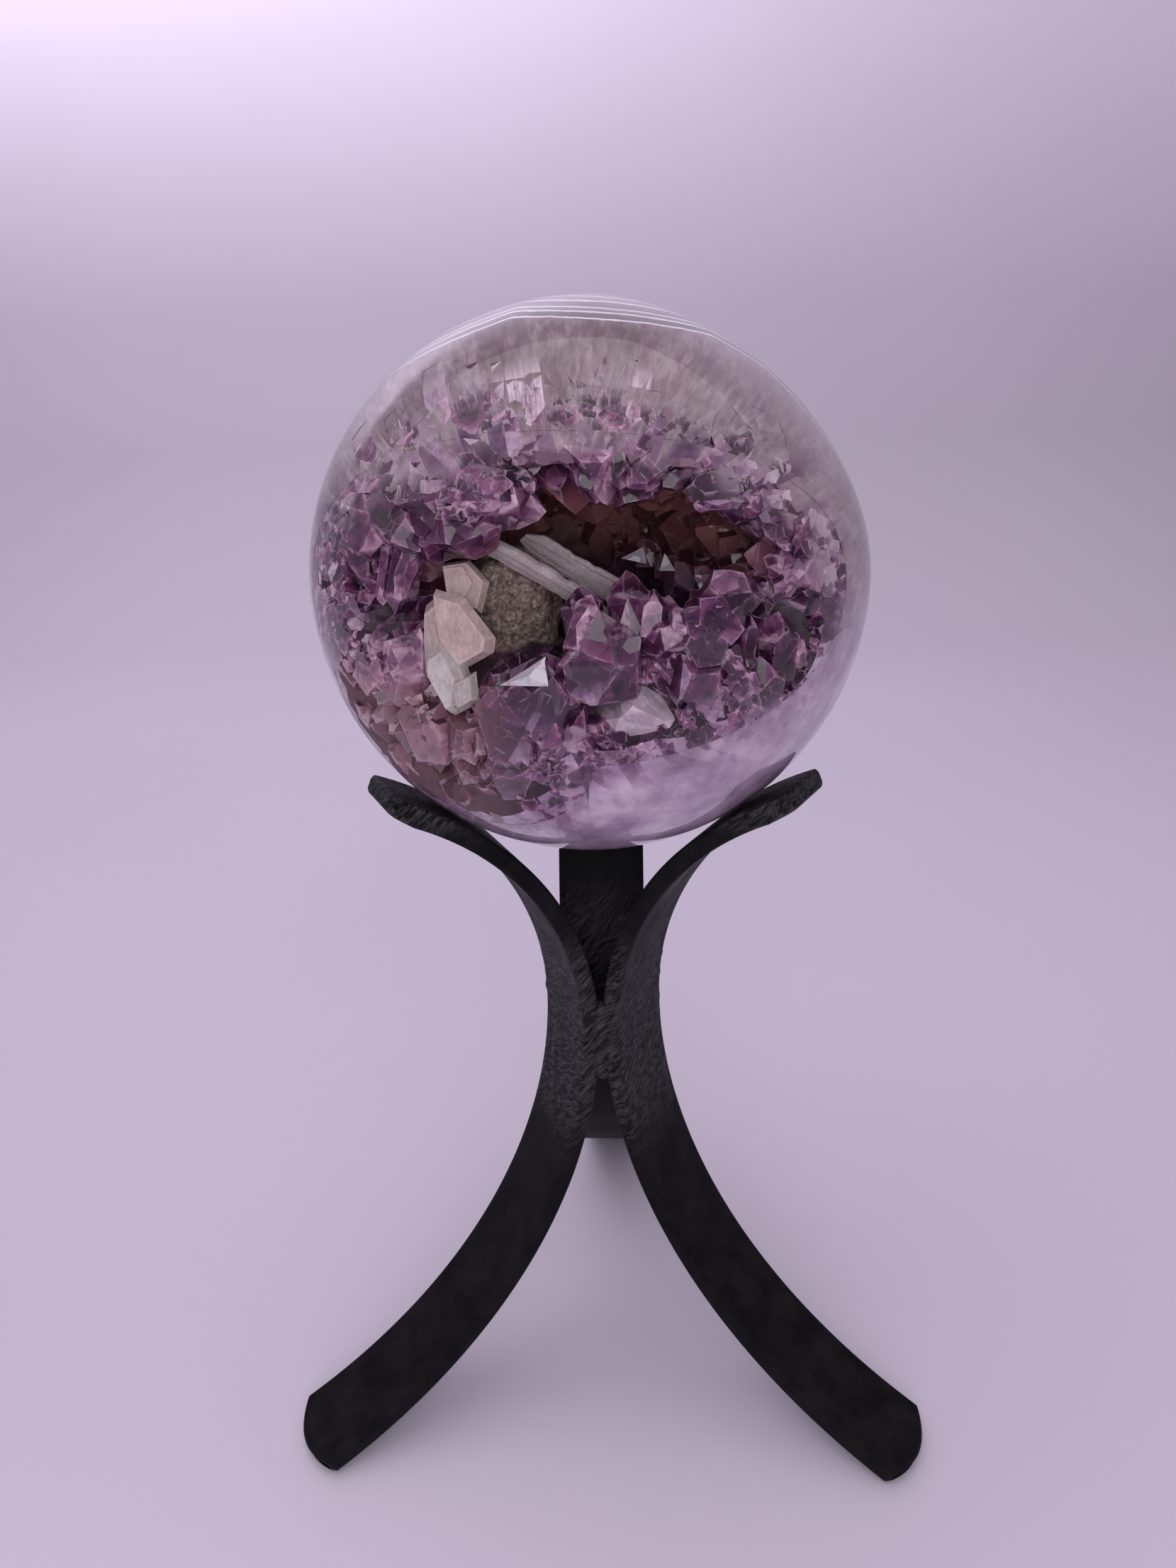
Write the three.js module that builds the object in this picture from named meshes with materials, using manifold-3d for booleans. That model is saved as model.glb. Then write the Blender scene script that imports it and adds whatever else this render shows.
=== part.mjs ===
// Polished amethyst geode sphere resting on a three-legged stand of bent flat bar.
// Millimetres, +Z up. The hollow of the stone opens towards -Y, and one bar of the stand points to +Y.

import * as THREE from "three";
import { mergeVertices } from "three/addons/utils/BufferGeometryUtils.js";
import Module from "manifold-3d";

const wasm = await Module();
wasm.setup();

// Gap that separate pieces keep where they touch
const GAP = 0.3;

// Stand: three lengths of flat bar, each bent to a C and welded to the others at the waist
const BAR_WIDTH = 25;
const BAR_THICKNESS = 5;
const WAIST_RADIUS = 7.5; // stand's axis to the inner face of a bar
const ARM_BEND_RADIUS = 87; // above the waist, on the inner face
const ARM_LENGTH = 98.8;
const LEG_RADIUS_AT_WAIST = 118; // below the waist, opening out towards the foot
const LEG_RADIUS_AT_FOOT = 146.5;
const LEG_LENGTH = 165.5;
const FOOT_ROUNDING = 4.8; // how far the middle of a foot's end stands out past its corners
const FOOT_GROUND_OFF = 0.8; // height taken off the end so that it stands flat
const ARM_CORNER_GROUND = 6; // length ground off one corner of each arm's end
const END_BLEND = 24; // stretch of bar over which an end's outline is shaped
const BAR_ANGLES = { bar_back: 90, bar_left: 210, bar_right: 330 };

// Welds: one bead in each of the three grooves between the bars
const WELD_ANGLES = { weld_front: 270, weld_right: 30, weld_left: 150 };
const WELD_LENGTH = 26;
const WELD_DROP = 5; // middle of the bead below the waist
const WELD_LUMPS = 5;
const WELD_HALF_WIDTH = 3.7;
const WELD_BULGE = 1.6;

// Stone: a sphere, a little flat on top and on the upper right shoulder
const STONE_RADIUS = 68.5;
const TOP_FLATTENING = 0.062;
const SHOULDER_FLAT = { depth: 2.2, elevation: 45, inner: 12, outer: 46 };

// Vug: the space in the pale quartz that the amethyst fills, as overlapping ellipsoids about the stone's centre
const VUG = [
  { centre: [-3, -36, 4], semi: [60, 50, 37.5] },
  { centre: [-23, -42, -17], semi: [36, 34, 31] },
];
// Hollows left open in the amethyst: the deep cavity, and three shallow ones near the polished surface.
// Each has a number of small crystals on its wall, their radius, and how far they stand out of it.
const HOLLOWS = [
  { centre: [4, -36, 14.5], semi: [41, 40, 21.5], crystals: 40, radius: 6.5, rise: 5.5 },
  { centre: [0, -75, -9], semi: [34, 19, 18], crystals: 34, radius: 5.5, rise: 5 },
  { centre: [-42, -62, 12], semi: [21, 19, 24], crystals: 34, radius: 5.5, rise: 4.5 },
  { centre: [-27, -66, -5], semi: [14, 17, 17], crystals: 0, radius: 0, rise: 0 },
];
const CRYSTAL_ROOT = 9; // length of a small crystal that is buried in the wall

// Crystals that stand out, tip and pointing direction about the stone's centre
const MAIN_CRYSTALS = [
  { tip: [-20, -50.5, 29.5], points: [0.1, -0.3, -1], radius: 6 },
  { tip: [-12.5, -52, 30.5], points: [0, -0.35, -1], radius: 6.5 },
  { tip: [-1, -45, 20], points: [0, -0.35, -1], radius: 8 },
  { tip: [5, -53, 29.5], points: [0.1, -0.4, -1], radius: 6.5 },
  { tip: [11.5, -51, 28.5], points: [-0.2, -0.3, -1], radius: 5 },
  { tip: [25, -50, 25], points: [-0.3, -0.4, -1], radius: 6.5 },
  { tip: [40, -50, 20], points: [0, -0.6, -1], radius: 6.5 },
  { tip: [-21.5, -55, 18], points: [1, -0.6, -0.2], radius: 7 },
  { tip: [-38.5, -50.5, 16.5], points: [0.3, -1, 0], radius: 7.5 },
  { tip: [-32.5, -45.5, 31], points: [0.4, -1, -0.6], radius: 7 },
  { tip: [-49.5, -43, 11], points: [-0.2, -1, 0], radius: 6.5 },
  { tip: [-43, -50, 2], points: [0.2, -1, 0.4], radius: 6.5 },
  { tip: [-9, -58, 6.5], points: [-0.3, -0.4, 1], radius: 5 },
  { tip: [1, -58.5, 8.5], points: [0, -0.5, 1], radius: 6.5 },
  { tip: [10, -55.5, 11], points: [0.1, -0.4, 1], radius: 6 },
  { tip: [17, -55.5, 7.5], points: [0.3, -0.6, 1], radius: 5 },
  { tip: [26.5, -54, 6], points: [-0.2, -0.5, 1], radius: 7 },
  { tip: [6.5, -66, 1], points: [0.1, -1, 0.4], radius: 9 },
  { tip: [-10.5, -66, -5.5], points: [-0.5, -1, 0.5], radius: 7.5 },
  { tip: [19, -64, -3], points: [0.2, -1, 0.5], radius: 8 },
  { tip: [-5, -66, -16], points: [0, -1, 0.1], radius: 8.5 },
  { tip: [11, -66, -15], points: [0.1, -1, 0.2], radius: 9 },
];
const MAIN_CRYSTAL_LENGTH = 17;

// Calcite: a blade across the cavity, a thinner one behind it, and a broken plate at the lower left
const BLADE = { from: [-24, -47.5, 19], to: [6, -51, 1.5], width: 4.6, thickness: 1.9, roll: 25 };
const REAR_BLADE = { from: [-12, -41, 16.5], to: [12, -44, 2.5], width: 6, thickness: 1.2, roll: 10 };
const PLATE = {
  centre: [-26, -57, -4],
  faces: [-0.42, -1, 0.12],
  thickness: 2.6,
  outline: [[-4.5, 12], [2.5, 10.5], [8.5, 3.5], [3, -3], [5, -11.5], [-1, -13.5], [-6, -6.5]],
};
const SMALL_PLATE = {
  centre: [-24, -50.5, 9.5],
  faces: [-0.2, -1, 0.3],
  thickness: 2,
  outline: [[-5, 4.5], [1, 5.5], [5.5, 1], [4, -5.5], [-3.5, -3.5]],
};

const STEEL = { color: 0x16161a, roughness: 0.62, metalness: 0.3 };
const QUARTZ = { color: 0xa79ba3, roughness: 0.12, metalness: 0 };
const AMETHYST = { color: 0x74508c, roughness: 0.15, metalness: 0 };
const CALCITE = { color: 0xcbb8b4, roughness: 0.35, metalness: 0 };

const radians = THREE.MathUtils.degToRad;

// Manifold solid from a closed three.js geometry
function toSolid(geometry) {
  const bare = geometry.clone();
  bare.deleteAttribute("normal");
  bare.deleteAttribute("uv");
  const merged = mergeVertices(bare, 1e-4);
  return new wasm.Manifold(
    new wasm.Mesh({
      numProp: 3,
      vertProperties: new Float32Array(merged.attributes.position.array),
      triVerts: new Uint32Array(merged.index.array),
    }),
  );
}

function toGeometry(solid) {
  const mesh = solid.getMesh();
  const geometry = new THREE.BufferGeometry();
  geometry.setAttribute("position", new THREE.BufferAttribute(mesh.vertProperties, 3));
  geometry.setIndex(new THREE.BufferAttribute(mesh.triVerts, 1));
  geometry.computeVertexNormals();
  return geometry;
}

function namedMesh(name, solid, look) {
  const mesh = new THREE.Mesh(toGeometry(solid), new THREE.MeshStandardMaterial({ ...look, flatShading: true }));
  mesh.name = name;
  return mesh;
}

function joined(solids) {
  return solids.reduce((whole, next) => whole.add(next));
}

// Moves each vertex of a geometry to the point that place returns for it
function reshape(geometry, place) {
  const position = geometry.attributes.position;
  for (let i = 0; i < position.count; i += 1) {
    const p = place(new THREE.Vector3().fromBufferAttribute(position, i));
    position.setXYZ(i, p.x, p.y, p.z);
  }
  return geometry;
}

// Seeded value from 0 to 1
function scatter(seed) {
  const wave = Math.sin(seed * 127.1 + 311.7) * 43758.5453;
  return wave - Math.floor(wave);
}

// Bend of the leg: its slope from the vertical, and the radius and drop of its inner face, a length s below the waist
function legSlope(s) {
  const change = 1 / LEG_RADIUS_AT_FOOT - 1 / LEG_RADIUS_AT_WAIST;
  return s / LEG_RADIUS_AT_WAIST + (change * s * s) / (2 * LEG_LENGTH);
}

function legPoint(s) {
  const steps = 48;
  let out = 0;
  let drop = 0;
  for (let i = 0; i < steps; i += 1) {
    const slope = legSlope(((i + 0.5) / steps) * s);
    out += (Math.sin(slope) * s) / steps;
    drop += (Math.cos(slope) * s) / steps;
  }
  return { out, drop };
}

const WAIST_HEIGHT = legPoint(LEG_LENGTH).drop - FOOT_GROUND_OFF;

// Point of a bar a length s above the waist (below where s is negative) and a depth d under its inner face
function barPoint(s, d, across) {
  if (s >= 0) {
    const slope = s / ARM_BEND_RADIUS;
    return new THREE.Vector3(
      WAIST_RADIUS + ARM_BEND_RADIUS * (1 - Math.cos(slope)) + d * Math.cos(slope),
      across,
      WAIST_HEIGHT + ARM_BEND_RADIUS * Math.sin(slope) - d * Math.sin(slope),
    );
  }
  const slope = legSlope(-s);
  const { out, drop } = legPoint(-s);
  return new THREE.Vector3(
    WAIST_RADIUS + out + d * Math.cos(slope),
    across,
    WAIST_HEIGHT - drop + d * Math.sin(slope),
  );
}

// Flat bar with a rounded foot and one ground corner at the arm's end, bent along its length.
// groundSide is the side of the ground corner, +1 or -1.
function barSolid(groundSide) {
  const stations = 26;
  const length = LEG_LENGTH + ARM_LENGTH;
  const flat = new THREE.BoxGeometry(BAR_THICKNESS, BAR_WIDTH, length, 1, 4, stations);
  const bent = reshape(flat, (p) => {
    const across = p.y / (BAR_WIDTH / 2);
    const s = p.z + length / 2 - LEG_LENGTH;
    const nearFoot = Math.max(0, 1 - (s + LEG_LENGTH) / END_BLEND);
    const nearTip = Math.max(0, 1 - (ARM_LENGTH - s) / END_BLEND);
    const corner = Math.max(0, groundSide * across - 0.3) / 0.7;
    const shaped = s + FOOT_ROUNDING * across ** 2 * nearFoot - ARM_CORNER_GROUND * corner ** 2 * nearTip;
    return barPoint(shaped, p.x + BAR_THICKNESS / 2, p.y);
  });
  const floor = new THREE.BoxGeometry(400, 400, 20).translate(0, 0, -10);
  return toSolid(bent).subtract(toSolid(floor));
}

// Weld bead in the groove between two bars: its section touches neither bar, and swells at each lump
function weldSolid(seed) {
  const grooveBottom = (BAR_WIDTH / 2 + GAP) / Math.sin(radians(60));
  const edge = WELD_HALF_WIDTH / Math.tan(radians(60));
  const section = new THREE.Shape();
  section.moveTo(0, 0);
  section.lineTo(edge, -WELD_HALF_WIDTH);
  section.quadraticCurveTo(edge + 2 * WELD_BULGE, 0, edge, WELD_HALF_WIDTH);
  const steps = WELD_LUMPS * 3;
  const bead = new THREE.ExtrudeGeometry(section, { depth: 1, steps, curveSegments: 6, bevelEnabled: false });
  reshape(bead, (p) => {
    const ends = Math.sqrt(Math.max(0.04, 1 - (2 * p.z - 1) ** 4));
    const ripple = 1 + 0.07 * Math.cos(p.z * WELD_LUMPS * 2 * Math.PI + seed);
    const size = ends * ripple;
    return new THREE.Vector3(
      grooveBottom + p.x * size,
      p.y * size,
      WAIST_HEIGHT - WELD_DROP + (p.z - 0.5) * WELD_LENGTH,
    );
  });
  return toSolid(bead);
}

// Height of the stone's centre: the ball rests on the convex top of each arm
const STONE_HEIGHT =
  WAIST_HEIGHT + Math.sqrt((ARM_BEND_RADIUS + STONE_RADIUS + GAP) ** 2 - (WAIST_RADIUS + ARM_BEND_RADIUS) ** 2);

// Distance from the stone's centre to its polished surface
function stoneReach(direction) {
  const upward = Math.max(0, direction.z);
  const shoulder = new THREE.Vector3(
    Math.cos(radians(SHOULDER_FLAT.elevation)),
    0,
    Math.sin(radians(SHOULDER_FLAT.elevation)),
  );
  const away = THREE.MathUtils.radToDeg(direction.angleTo(shoulder));
  const flat = 1 - THREE.MathUtils.smoothstep(away, SHOULDER_FLAT.inner, SHOULDER_FLAT.outer);
  return STONE_RADIUS * (1 - TOP_FLATTENING * upward ** 2) - SHOULDER_FLAT.depth * flat;
}

function polishedStone() {
  const round = new THREE.SphereGeometry(1, 42, 27).rotateX(Math.PI / 2);
  return toSolid(reshape(round, (p) => p.normalize().multiplyScalar(stoneReach(p.clone().normalize()))));
}

// Ellipsoid { centre, semi }, made smaller by inset on every side
function ellipsoid({ centre, semi }, inset, around, over) {
  const round = new THREE.SphereGeometry(1, around, over).rotateX(Math.PI / 2);
  round.scale(semi[0] - inset, semi[1] - inset, semi[2] - inset);
  return toSolid(round.translate(...centre));
}

function vug(inset) {
  return joined(VUG.map((space) => ellipsoid(space, inset, 20, 12)));
}

// Six-sided crystal with a pointed end
function crystal(tip, points, radius, length, seed) {
  const shoulder = length - radius * 1.25;
  const profile = [
    new THREE.Vector2(0, 0),
    new THREE.Vector2(radius, 0),
    new THREE.Vector2(radius * 0.9, shoulder),
    new THREE.Vector2(0, length),
  ];
  const shape = new THREE.LatheGeometry(profile, 6, scatter(seed) * Math.PI);
  const skew = radius * 0.35;
  reshape(shape, (p) => {
    const lean = p.y === length ? 1 : 0;
    return new THREE.Vector3(
      p.x + lean * skew * (scatter(seed + 1) - 0.5),
      p.y - length,
      p.z + lean * skew * (scatter(seed + 2) - 0.5),
    );
  });
  const turn = new THREE.Quaternion().setFromUnitVectors(new THREE.Vector3(0, 1, 0), points.clone().normalize());
  return toSolid(shape.applyQuaternion(turn).translate(tip.x, tip.y, tip.z));
}

function mainCrystals() {
  return MAIN_CRYSTALS.map(({ tip, points, radius }, i) =>
    crystal(new THREE.Vector3(...tip), new THREE.Vector3(...points), radius, MAIN_CRYSTAL_LENGTH, 40 + i),
  );
}

function isInside(point, { centre, semi }) {
  return point.clone().sub(new THREE.Vector3(...centre)).divide(new THREE.Vector3(...semi)).length() < 1;
}

// Evenly spread crystals on the wall of a hollow, leaving out its mouth and where it opens into another hollow
function liningCrystals(hollow) {
  const centre = new THREE.Vector3(...hollow.centre);
  const semi = new THREE.Vector3(...hollow.semi);
  const golden = Math.PI * (3 - Math.sqrt(5));
  const crystals = [];
  for (let i = 0; i < hollow.crystals; i += 1) {
    const height = 1 - (2 * (i + 0.5)) / hollow.crystals;
    const ring = Math.sqrt(1 - height * height);
    const out = new THREE.Vector3(ring * Math.cos(golden * i), ring * Math.sin(golden * i), height);
    const wall = out.clone().multiply(semi).add(centre);
    const inward = out.clone().divide(semi).normalize().negate();
    const open = HOLLOWS.some((other) => other !== hollow && isInside(wall, other));
    if (!open && wall.length() < STONE_RADIUS - 4) {
      const size = hollow.radius * (0.8 + 0.4 * scatter(i));
      const tip = wall.clone().addScaledVector(inward, hollow.rise * (0.7 + 0.6 * scatter(i + 0.5)));
      inward.x += 0.5 * (scatter(i + 0.2) - 0.5);
      inward.z += 0.5 * (scatter(i + 0.8) - 0.5);
      crystals.push(crystal(tip, inward, size, hollow.rise + CRYSTAL_ROOT, i));
    }
  }
  return crystals;
}

// Crust of amethyst: the vug's filling with its hollows cut out, and the crystals that stand in them
function amethystCrust(stone, calciteRoom) {
  const hollows = joined(HOLLOWS.map((space) => ellipsoid(space, 0, 16, 10)));
  const bed = vug(GAP).subtract(hollows);
  const points = joined([...mainCrystals(), ...HOLLOWS.flatMap(liningCrystals)]);
  return bed.add(points.intersect(vug(GAP))).subtract(calciteRoom).intersect(stone);
}

// Long flat blade between two points
function bladeSolid({ from, to, width, thickness, roll }, grow) {
  const start = new THREE.Vector3(...from);
  const end = new THREE.Vector3(...to);
  const length = start.distanceTo(end) + 2 * grow;
  const bar = new THREE.BoxGeometry(width + 2 * grow, thickness + 2 * grow, length);
  bar.rotateZ(radians(roll));
  const turn = new THREE.Quaternion().setFromUnitVectors(
    new THREE.Vector3(0, 0, 1),
    end.clone().sub(start).normalize(),
  );
  bar.applyQuaternion(turn);
  const middle = start.add(end).multiplyScalar(0.5);
  return toSolid(bar.translate(middle.x, middle.y, middle.z));
}

// Angular plate that faces a direction
function plateSolid({ centre, faces, thickness, outline }, grow) {
  const bigger = 1 + grow / 4;
  const shape = new THREE.Shape(outline.map(([x, y]) => new THREE.Vector2(x * bigger, y * bigger)));
  const plate = new THREE.ExtrudeGeometry(shape, { depth: thickness + 2 * grow, bevelEnabled: false });
  plate.translate(0, 0, -thickness / 2 - grow);
  const holder = new THREE.Object3D();
  holder.up.set(0, 0, 1);
  holder.lookAt(new THREE.Vector3(...faces));
  plate.applyQuaternion(holder.quaternion);
  return toSolid(plate.translate(...centre));
}

function calcitePieces(grow) {
  return {
    calcite_blade: bladeSolid(BLADE, grow),
    calcite_blade_rear: bladeSolid(REAR_BLADE, grow),
    calcite_plate: plateSolid(PLATE, grow),
    calcite_plate_small: plateSolid(SMALL_PLATE, grow),
  };
}

function stoneGroup() {
  const group = new THREE.Group();
  const stone = polishedStone();
  group.add(namedMesh("quartz_ball", stone.subtract(vug(0)), QUARTZ));
  const room = joined(Object.values(calcitePieces(GAP)));
  group.add(namedMesh("amethyst_crust", amethystCrust(stone, room), AMETHYST));
  for (const [name, solid] of Object.entries(calcitePieces(0))) {
    group.add(namedMesh(name, solid.intersect(stone), CALCITE));
  }
  group.position.z = STONE_HEIGHT;
  return group;
}

function standGroup() {
  const group = new THREE.Group();
  for (const [name, angle] of Object.entries(BAR_ANGLES)) {
    const bar = namedMesh(name, barSolid(name === "bar_right" ? -1 : 1), STEEL);
    bar.rotation.z = radians(angle);
    group.add(bar);
  }
  for (const [name, angle] of Object.entries(WELD_ANGLES)) {
    const weld = namedMesh(name, weldSolid(angle), STEEL);
    weld.rotation.z = radians(angle);
    group.add(weld);
  }
  return group;
}

// The object stands with the middle of its box on the origin
const object = new THREE.Group();
object.add(standGroup(), stoneGroup());
object.updateMatrixWorld(true);
const middle = new THREE.Box3().setFromObject(object, true).getCenter(new THREE.Vector3());
object.position.set(-middle.x, -middle.y, 0);

export default object;
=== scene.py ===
"""Polished amethyst sphere on a stand of bent flat bar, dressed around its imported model."""

import math
import random

import bmesh
import bpy
from bpy.props import FloatProperty, FloatVectorProperty, IntProperty, PointerProperty
from mathutils import Matrix, Vector, noise


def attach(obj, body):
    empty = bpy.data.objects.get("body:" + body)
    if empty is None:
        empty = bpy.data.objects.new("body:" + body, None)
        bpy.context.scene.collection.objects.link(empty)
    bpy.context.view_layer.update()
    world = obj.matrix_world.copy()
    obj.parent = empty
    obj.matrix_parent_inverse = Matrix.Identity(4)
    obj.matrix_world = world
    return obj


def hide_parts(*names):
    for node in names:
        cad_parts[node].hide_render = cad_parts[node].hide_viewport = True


bl_info = {
    "name": "Amethyst Sphere",
    "version": (1, 0, 0),
    "blender": (4, 5, 0),
    "location": "3D View > Sidebar > Amethyst",
    "description": "Builds the fine stone, crystals, stand and studio around the packed model",
    "category": "Add Mesh",
}

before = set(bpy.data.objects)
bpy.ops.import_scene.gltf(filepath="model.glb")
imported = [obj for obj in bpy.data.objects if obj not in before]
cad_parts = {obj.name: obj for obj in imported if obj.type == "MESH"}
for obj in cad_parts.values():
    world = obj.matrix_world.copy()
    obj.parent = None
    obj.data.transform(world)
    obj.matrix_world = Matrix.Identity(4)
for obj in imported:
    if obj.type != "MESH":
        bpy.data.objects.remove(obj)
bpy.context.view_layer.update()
MM = 0.001

# Stone, in millimetres about its own centre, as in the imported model
STONE_RADIUS = 68.5
# The ball is a little lower at the top and has a flat shoulder at the upper right: its depth, and the angles
# about its direction over which it fades away
TOP_FLATTENING = 0.05
SHOULDER_DEPTH = 2.2
SHOULDER_INNER = math.radians(12)
SHOULDER_OUTER = math.radians(46)
SHOULDER_DIRECTION = Vector((math.cos(math.radians(45)), 0, math.sin(math.radians(45))))
# Space of the amethyst: two ellipsoids as (centre, semi-axes)
VUG = (
    (Vector((-3, -36, 4)), Vector((60, 50, 37.5))),
    (Vector((-23, -42, -17)), Vector((36, 34, 31))),
)
# How softly the two parts of the vug run together in the material
VUG_BLEND = 6.0
# Hollows in the amethyst: centre, semi-axes, mean radius of the crystals on the wall, and how far their
# tips stand from the wall in radii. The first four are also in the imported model.
HOLLOWS = (
    (Vector((4, -36, 14.5)), Vector((41, 40, 21.5)), 4.2, (1.0, 1.9)),
    (Vector((0, -75, -9)), Vector((34, 19, 18)), 4.6, (1.0, 1.9)),
    (Vector((-42, -62, 12)), Vector((21, 19, 24)), 4.2, (1.0, 1.9)),
    (Vector((-27, -66, -5)), Vector((14, 17, 17)), 3.2, (0.8, 1.5)),
    (Vector((-17, -60, 5)), Vector((15, 18, 14)), 3.2, (0.8, 1.5)),
    (Vector((45, -58, 3)), Vector((15, 14, 24)), 3.6, (1.2, 2.2)),
)
# Space in front of the calcite and the bare wall, which no crystal's tip may take
KEPT_CLEAR = (
    (Vector((-25, -60, -4)), Vector((9, 12, 13))),
    (Vector((-12, -52, 9)), Vector((14, 14, 9))),
    (Vector((-15, -54, -1)), Vector((8, 14, 9))),
)
# Bed that the crystals stand on: how far it lies under the polish, how far inside the amethyst it starts
# to sink and how far in it takes to get there, and the depth from which it isn't polished
BED_DEPTH = 4.2
BED_START = 2.4
BED_SLOPE = 12.0
BED_SUNK = 0.05
# Crystals ground with the stone: how far their flat faces lie under the polish and how much less those of
# pale tags do, how far apart the flats are along a crystal and, on a thick one, to its sides in radii, and
# how deep and how tilted a face may be and still count as one
POLISH_DEPTH = 0.03
PALE_RISE = 0.05
PALE_TAG = 1.25
POLISH_STEP = 4.0
THICK_CRYSTAL = 2.4
POLISH_SIDES = (-0.6, 0, 0.6)
POLISH_RANGE = 0.4
POLISH_FACING = 0.985
# What a corner counts as when it is on no crystal: millimetres from an edge, and share of the length
FAR_INSIDE = 9.0
NEAR_TIP = 0.8
# Flat layers of the agate about the stone's centre, as (normal, distance)
AGATE_LAYERS = (
    ((-0.3, 0.13, 0.945), 57.2),
    ((0.096, 0.107, 0.989), 55.0),
    ((0.446, 0.136, 0.885), 58.9),
    ((0.76, 0.2, 0.62), 58.2),
    ((0.35, 0.93, 0.1), 40.0),
    ((-0.5, 0.85, -0.1), 44.0),
)
# Width of one period of the agate's bands, how softly the layers meet, and the colours
AGATE_PERIOD = 8.5
AGATE_BLEND = 0.6
AGATE_WHITE = (0.85, 0.8, 0.9)
AGATE_PALE = (0.27, 0.25, 0.3)
AGATE_SMOKY = (0.12, 0.108, 0.13)
# White lines in one period: place, half width and what comes before, and how wide their sides fade
AGATE_LINES = (
    (0.22, 0.014, AGATE_SMOKY),
    (0.36, 0.01, AGATE_PALE),
    (0.6, 0.018, AGATE_SMOKY),
    (0.8, 0.01, AGATE_PALE),
)
AGATE_FADE = 0.02
# Columns that reach up into the quartz over the hollow: tip, pointing direction, radius, tag and length
COLUMNS = (
    ((-25.6, -48.4, 38.5), (0.22, -0.78, -0.59), 2.9, 1.15, 22),
    ((-19, -52.2, 37.4), (0.15, -0.71, -0.69), 2.7, 1, 20),
    ((-8, -54.1, 38.7), (0.15, -0.7, -0.7), 3.1, 1.3, 22),
    ((-15, -52.2, 39.2), (0.1, -0.7, -0.71), 2.3, 1.2, 17),
    ((-1.2, -55.5, 37.5), (0.2, -0.6, -0.77), 2.8, 0.5, 11),
    ((8.5, -55.6, 36.4), (-0.08, -0.65, -0.76), 3.9, 1.15, 20),
    ((11.3, -53.6, 38.6), (-0.18, -0.69, -0.7), 2.1, 1.25, 19),
    ((15.8, -54.2, 36.1), (-0.14, -0.62, -0.77), 3.3, 0.4, 11),
    ((40.2, -47.2, 25.3), (0.09, -0.53, -0.85), 4.1, 1.2, 18),
    ((22.3, -53.2, 34.1), (-0.27, -0.65, -0.71), 3.2, 0.3, 11),
    ((29.9, -51.5, 30.7), (-0.32, -0.67, -0.68), 3.1, 0.5, 11),
    ((-33.4, -47.1, 34.1), (0.33, -0.76, -0.56), 3.1, 0.9, 15),
    ((-41.1, -42.3, 31.8), (0.36, -0.83, -0.42), 2.9, 1.1, 17),
    ((3.9, -54.5, 38.8), (0.03, -0.64, -0.77), 2.4, 0.6, 12),
)
# Middle of the hollows, which the crystals point to, and where the wall is bare and shows olive rock
VUG_HEART = Vector((4, -36, 12))
BARE_WALL = (Vector((-17, -42, 2)), Vector((11, 16, 12)))
BARE_ROCK = (Vector((-16, -40, 1)), Vector((11, 9, 14)))

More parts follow.
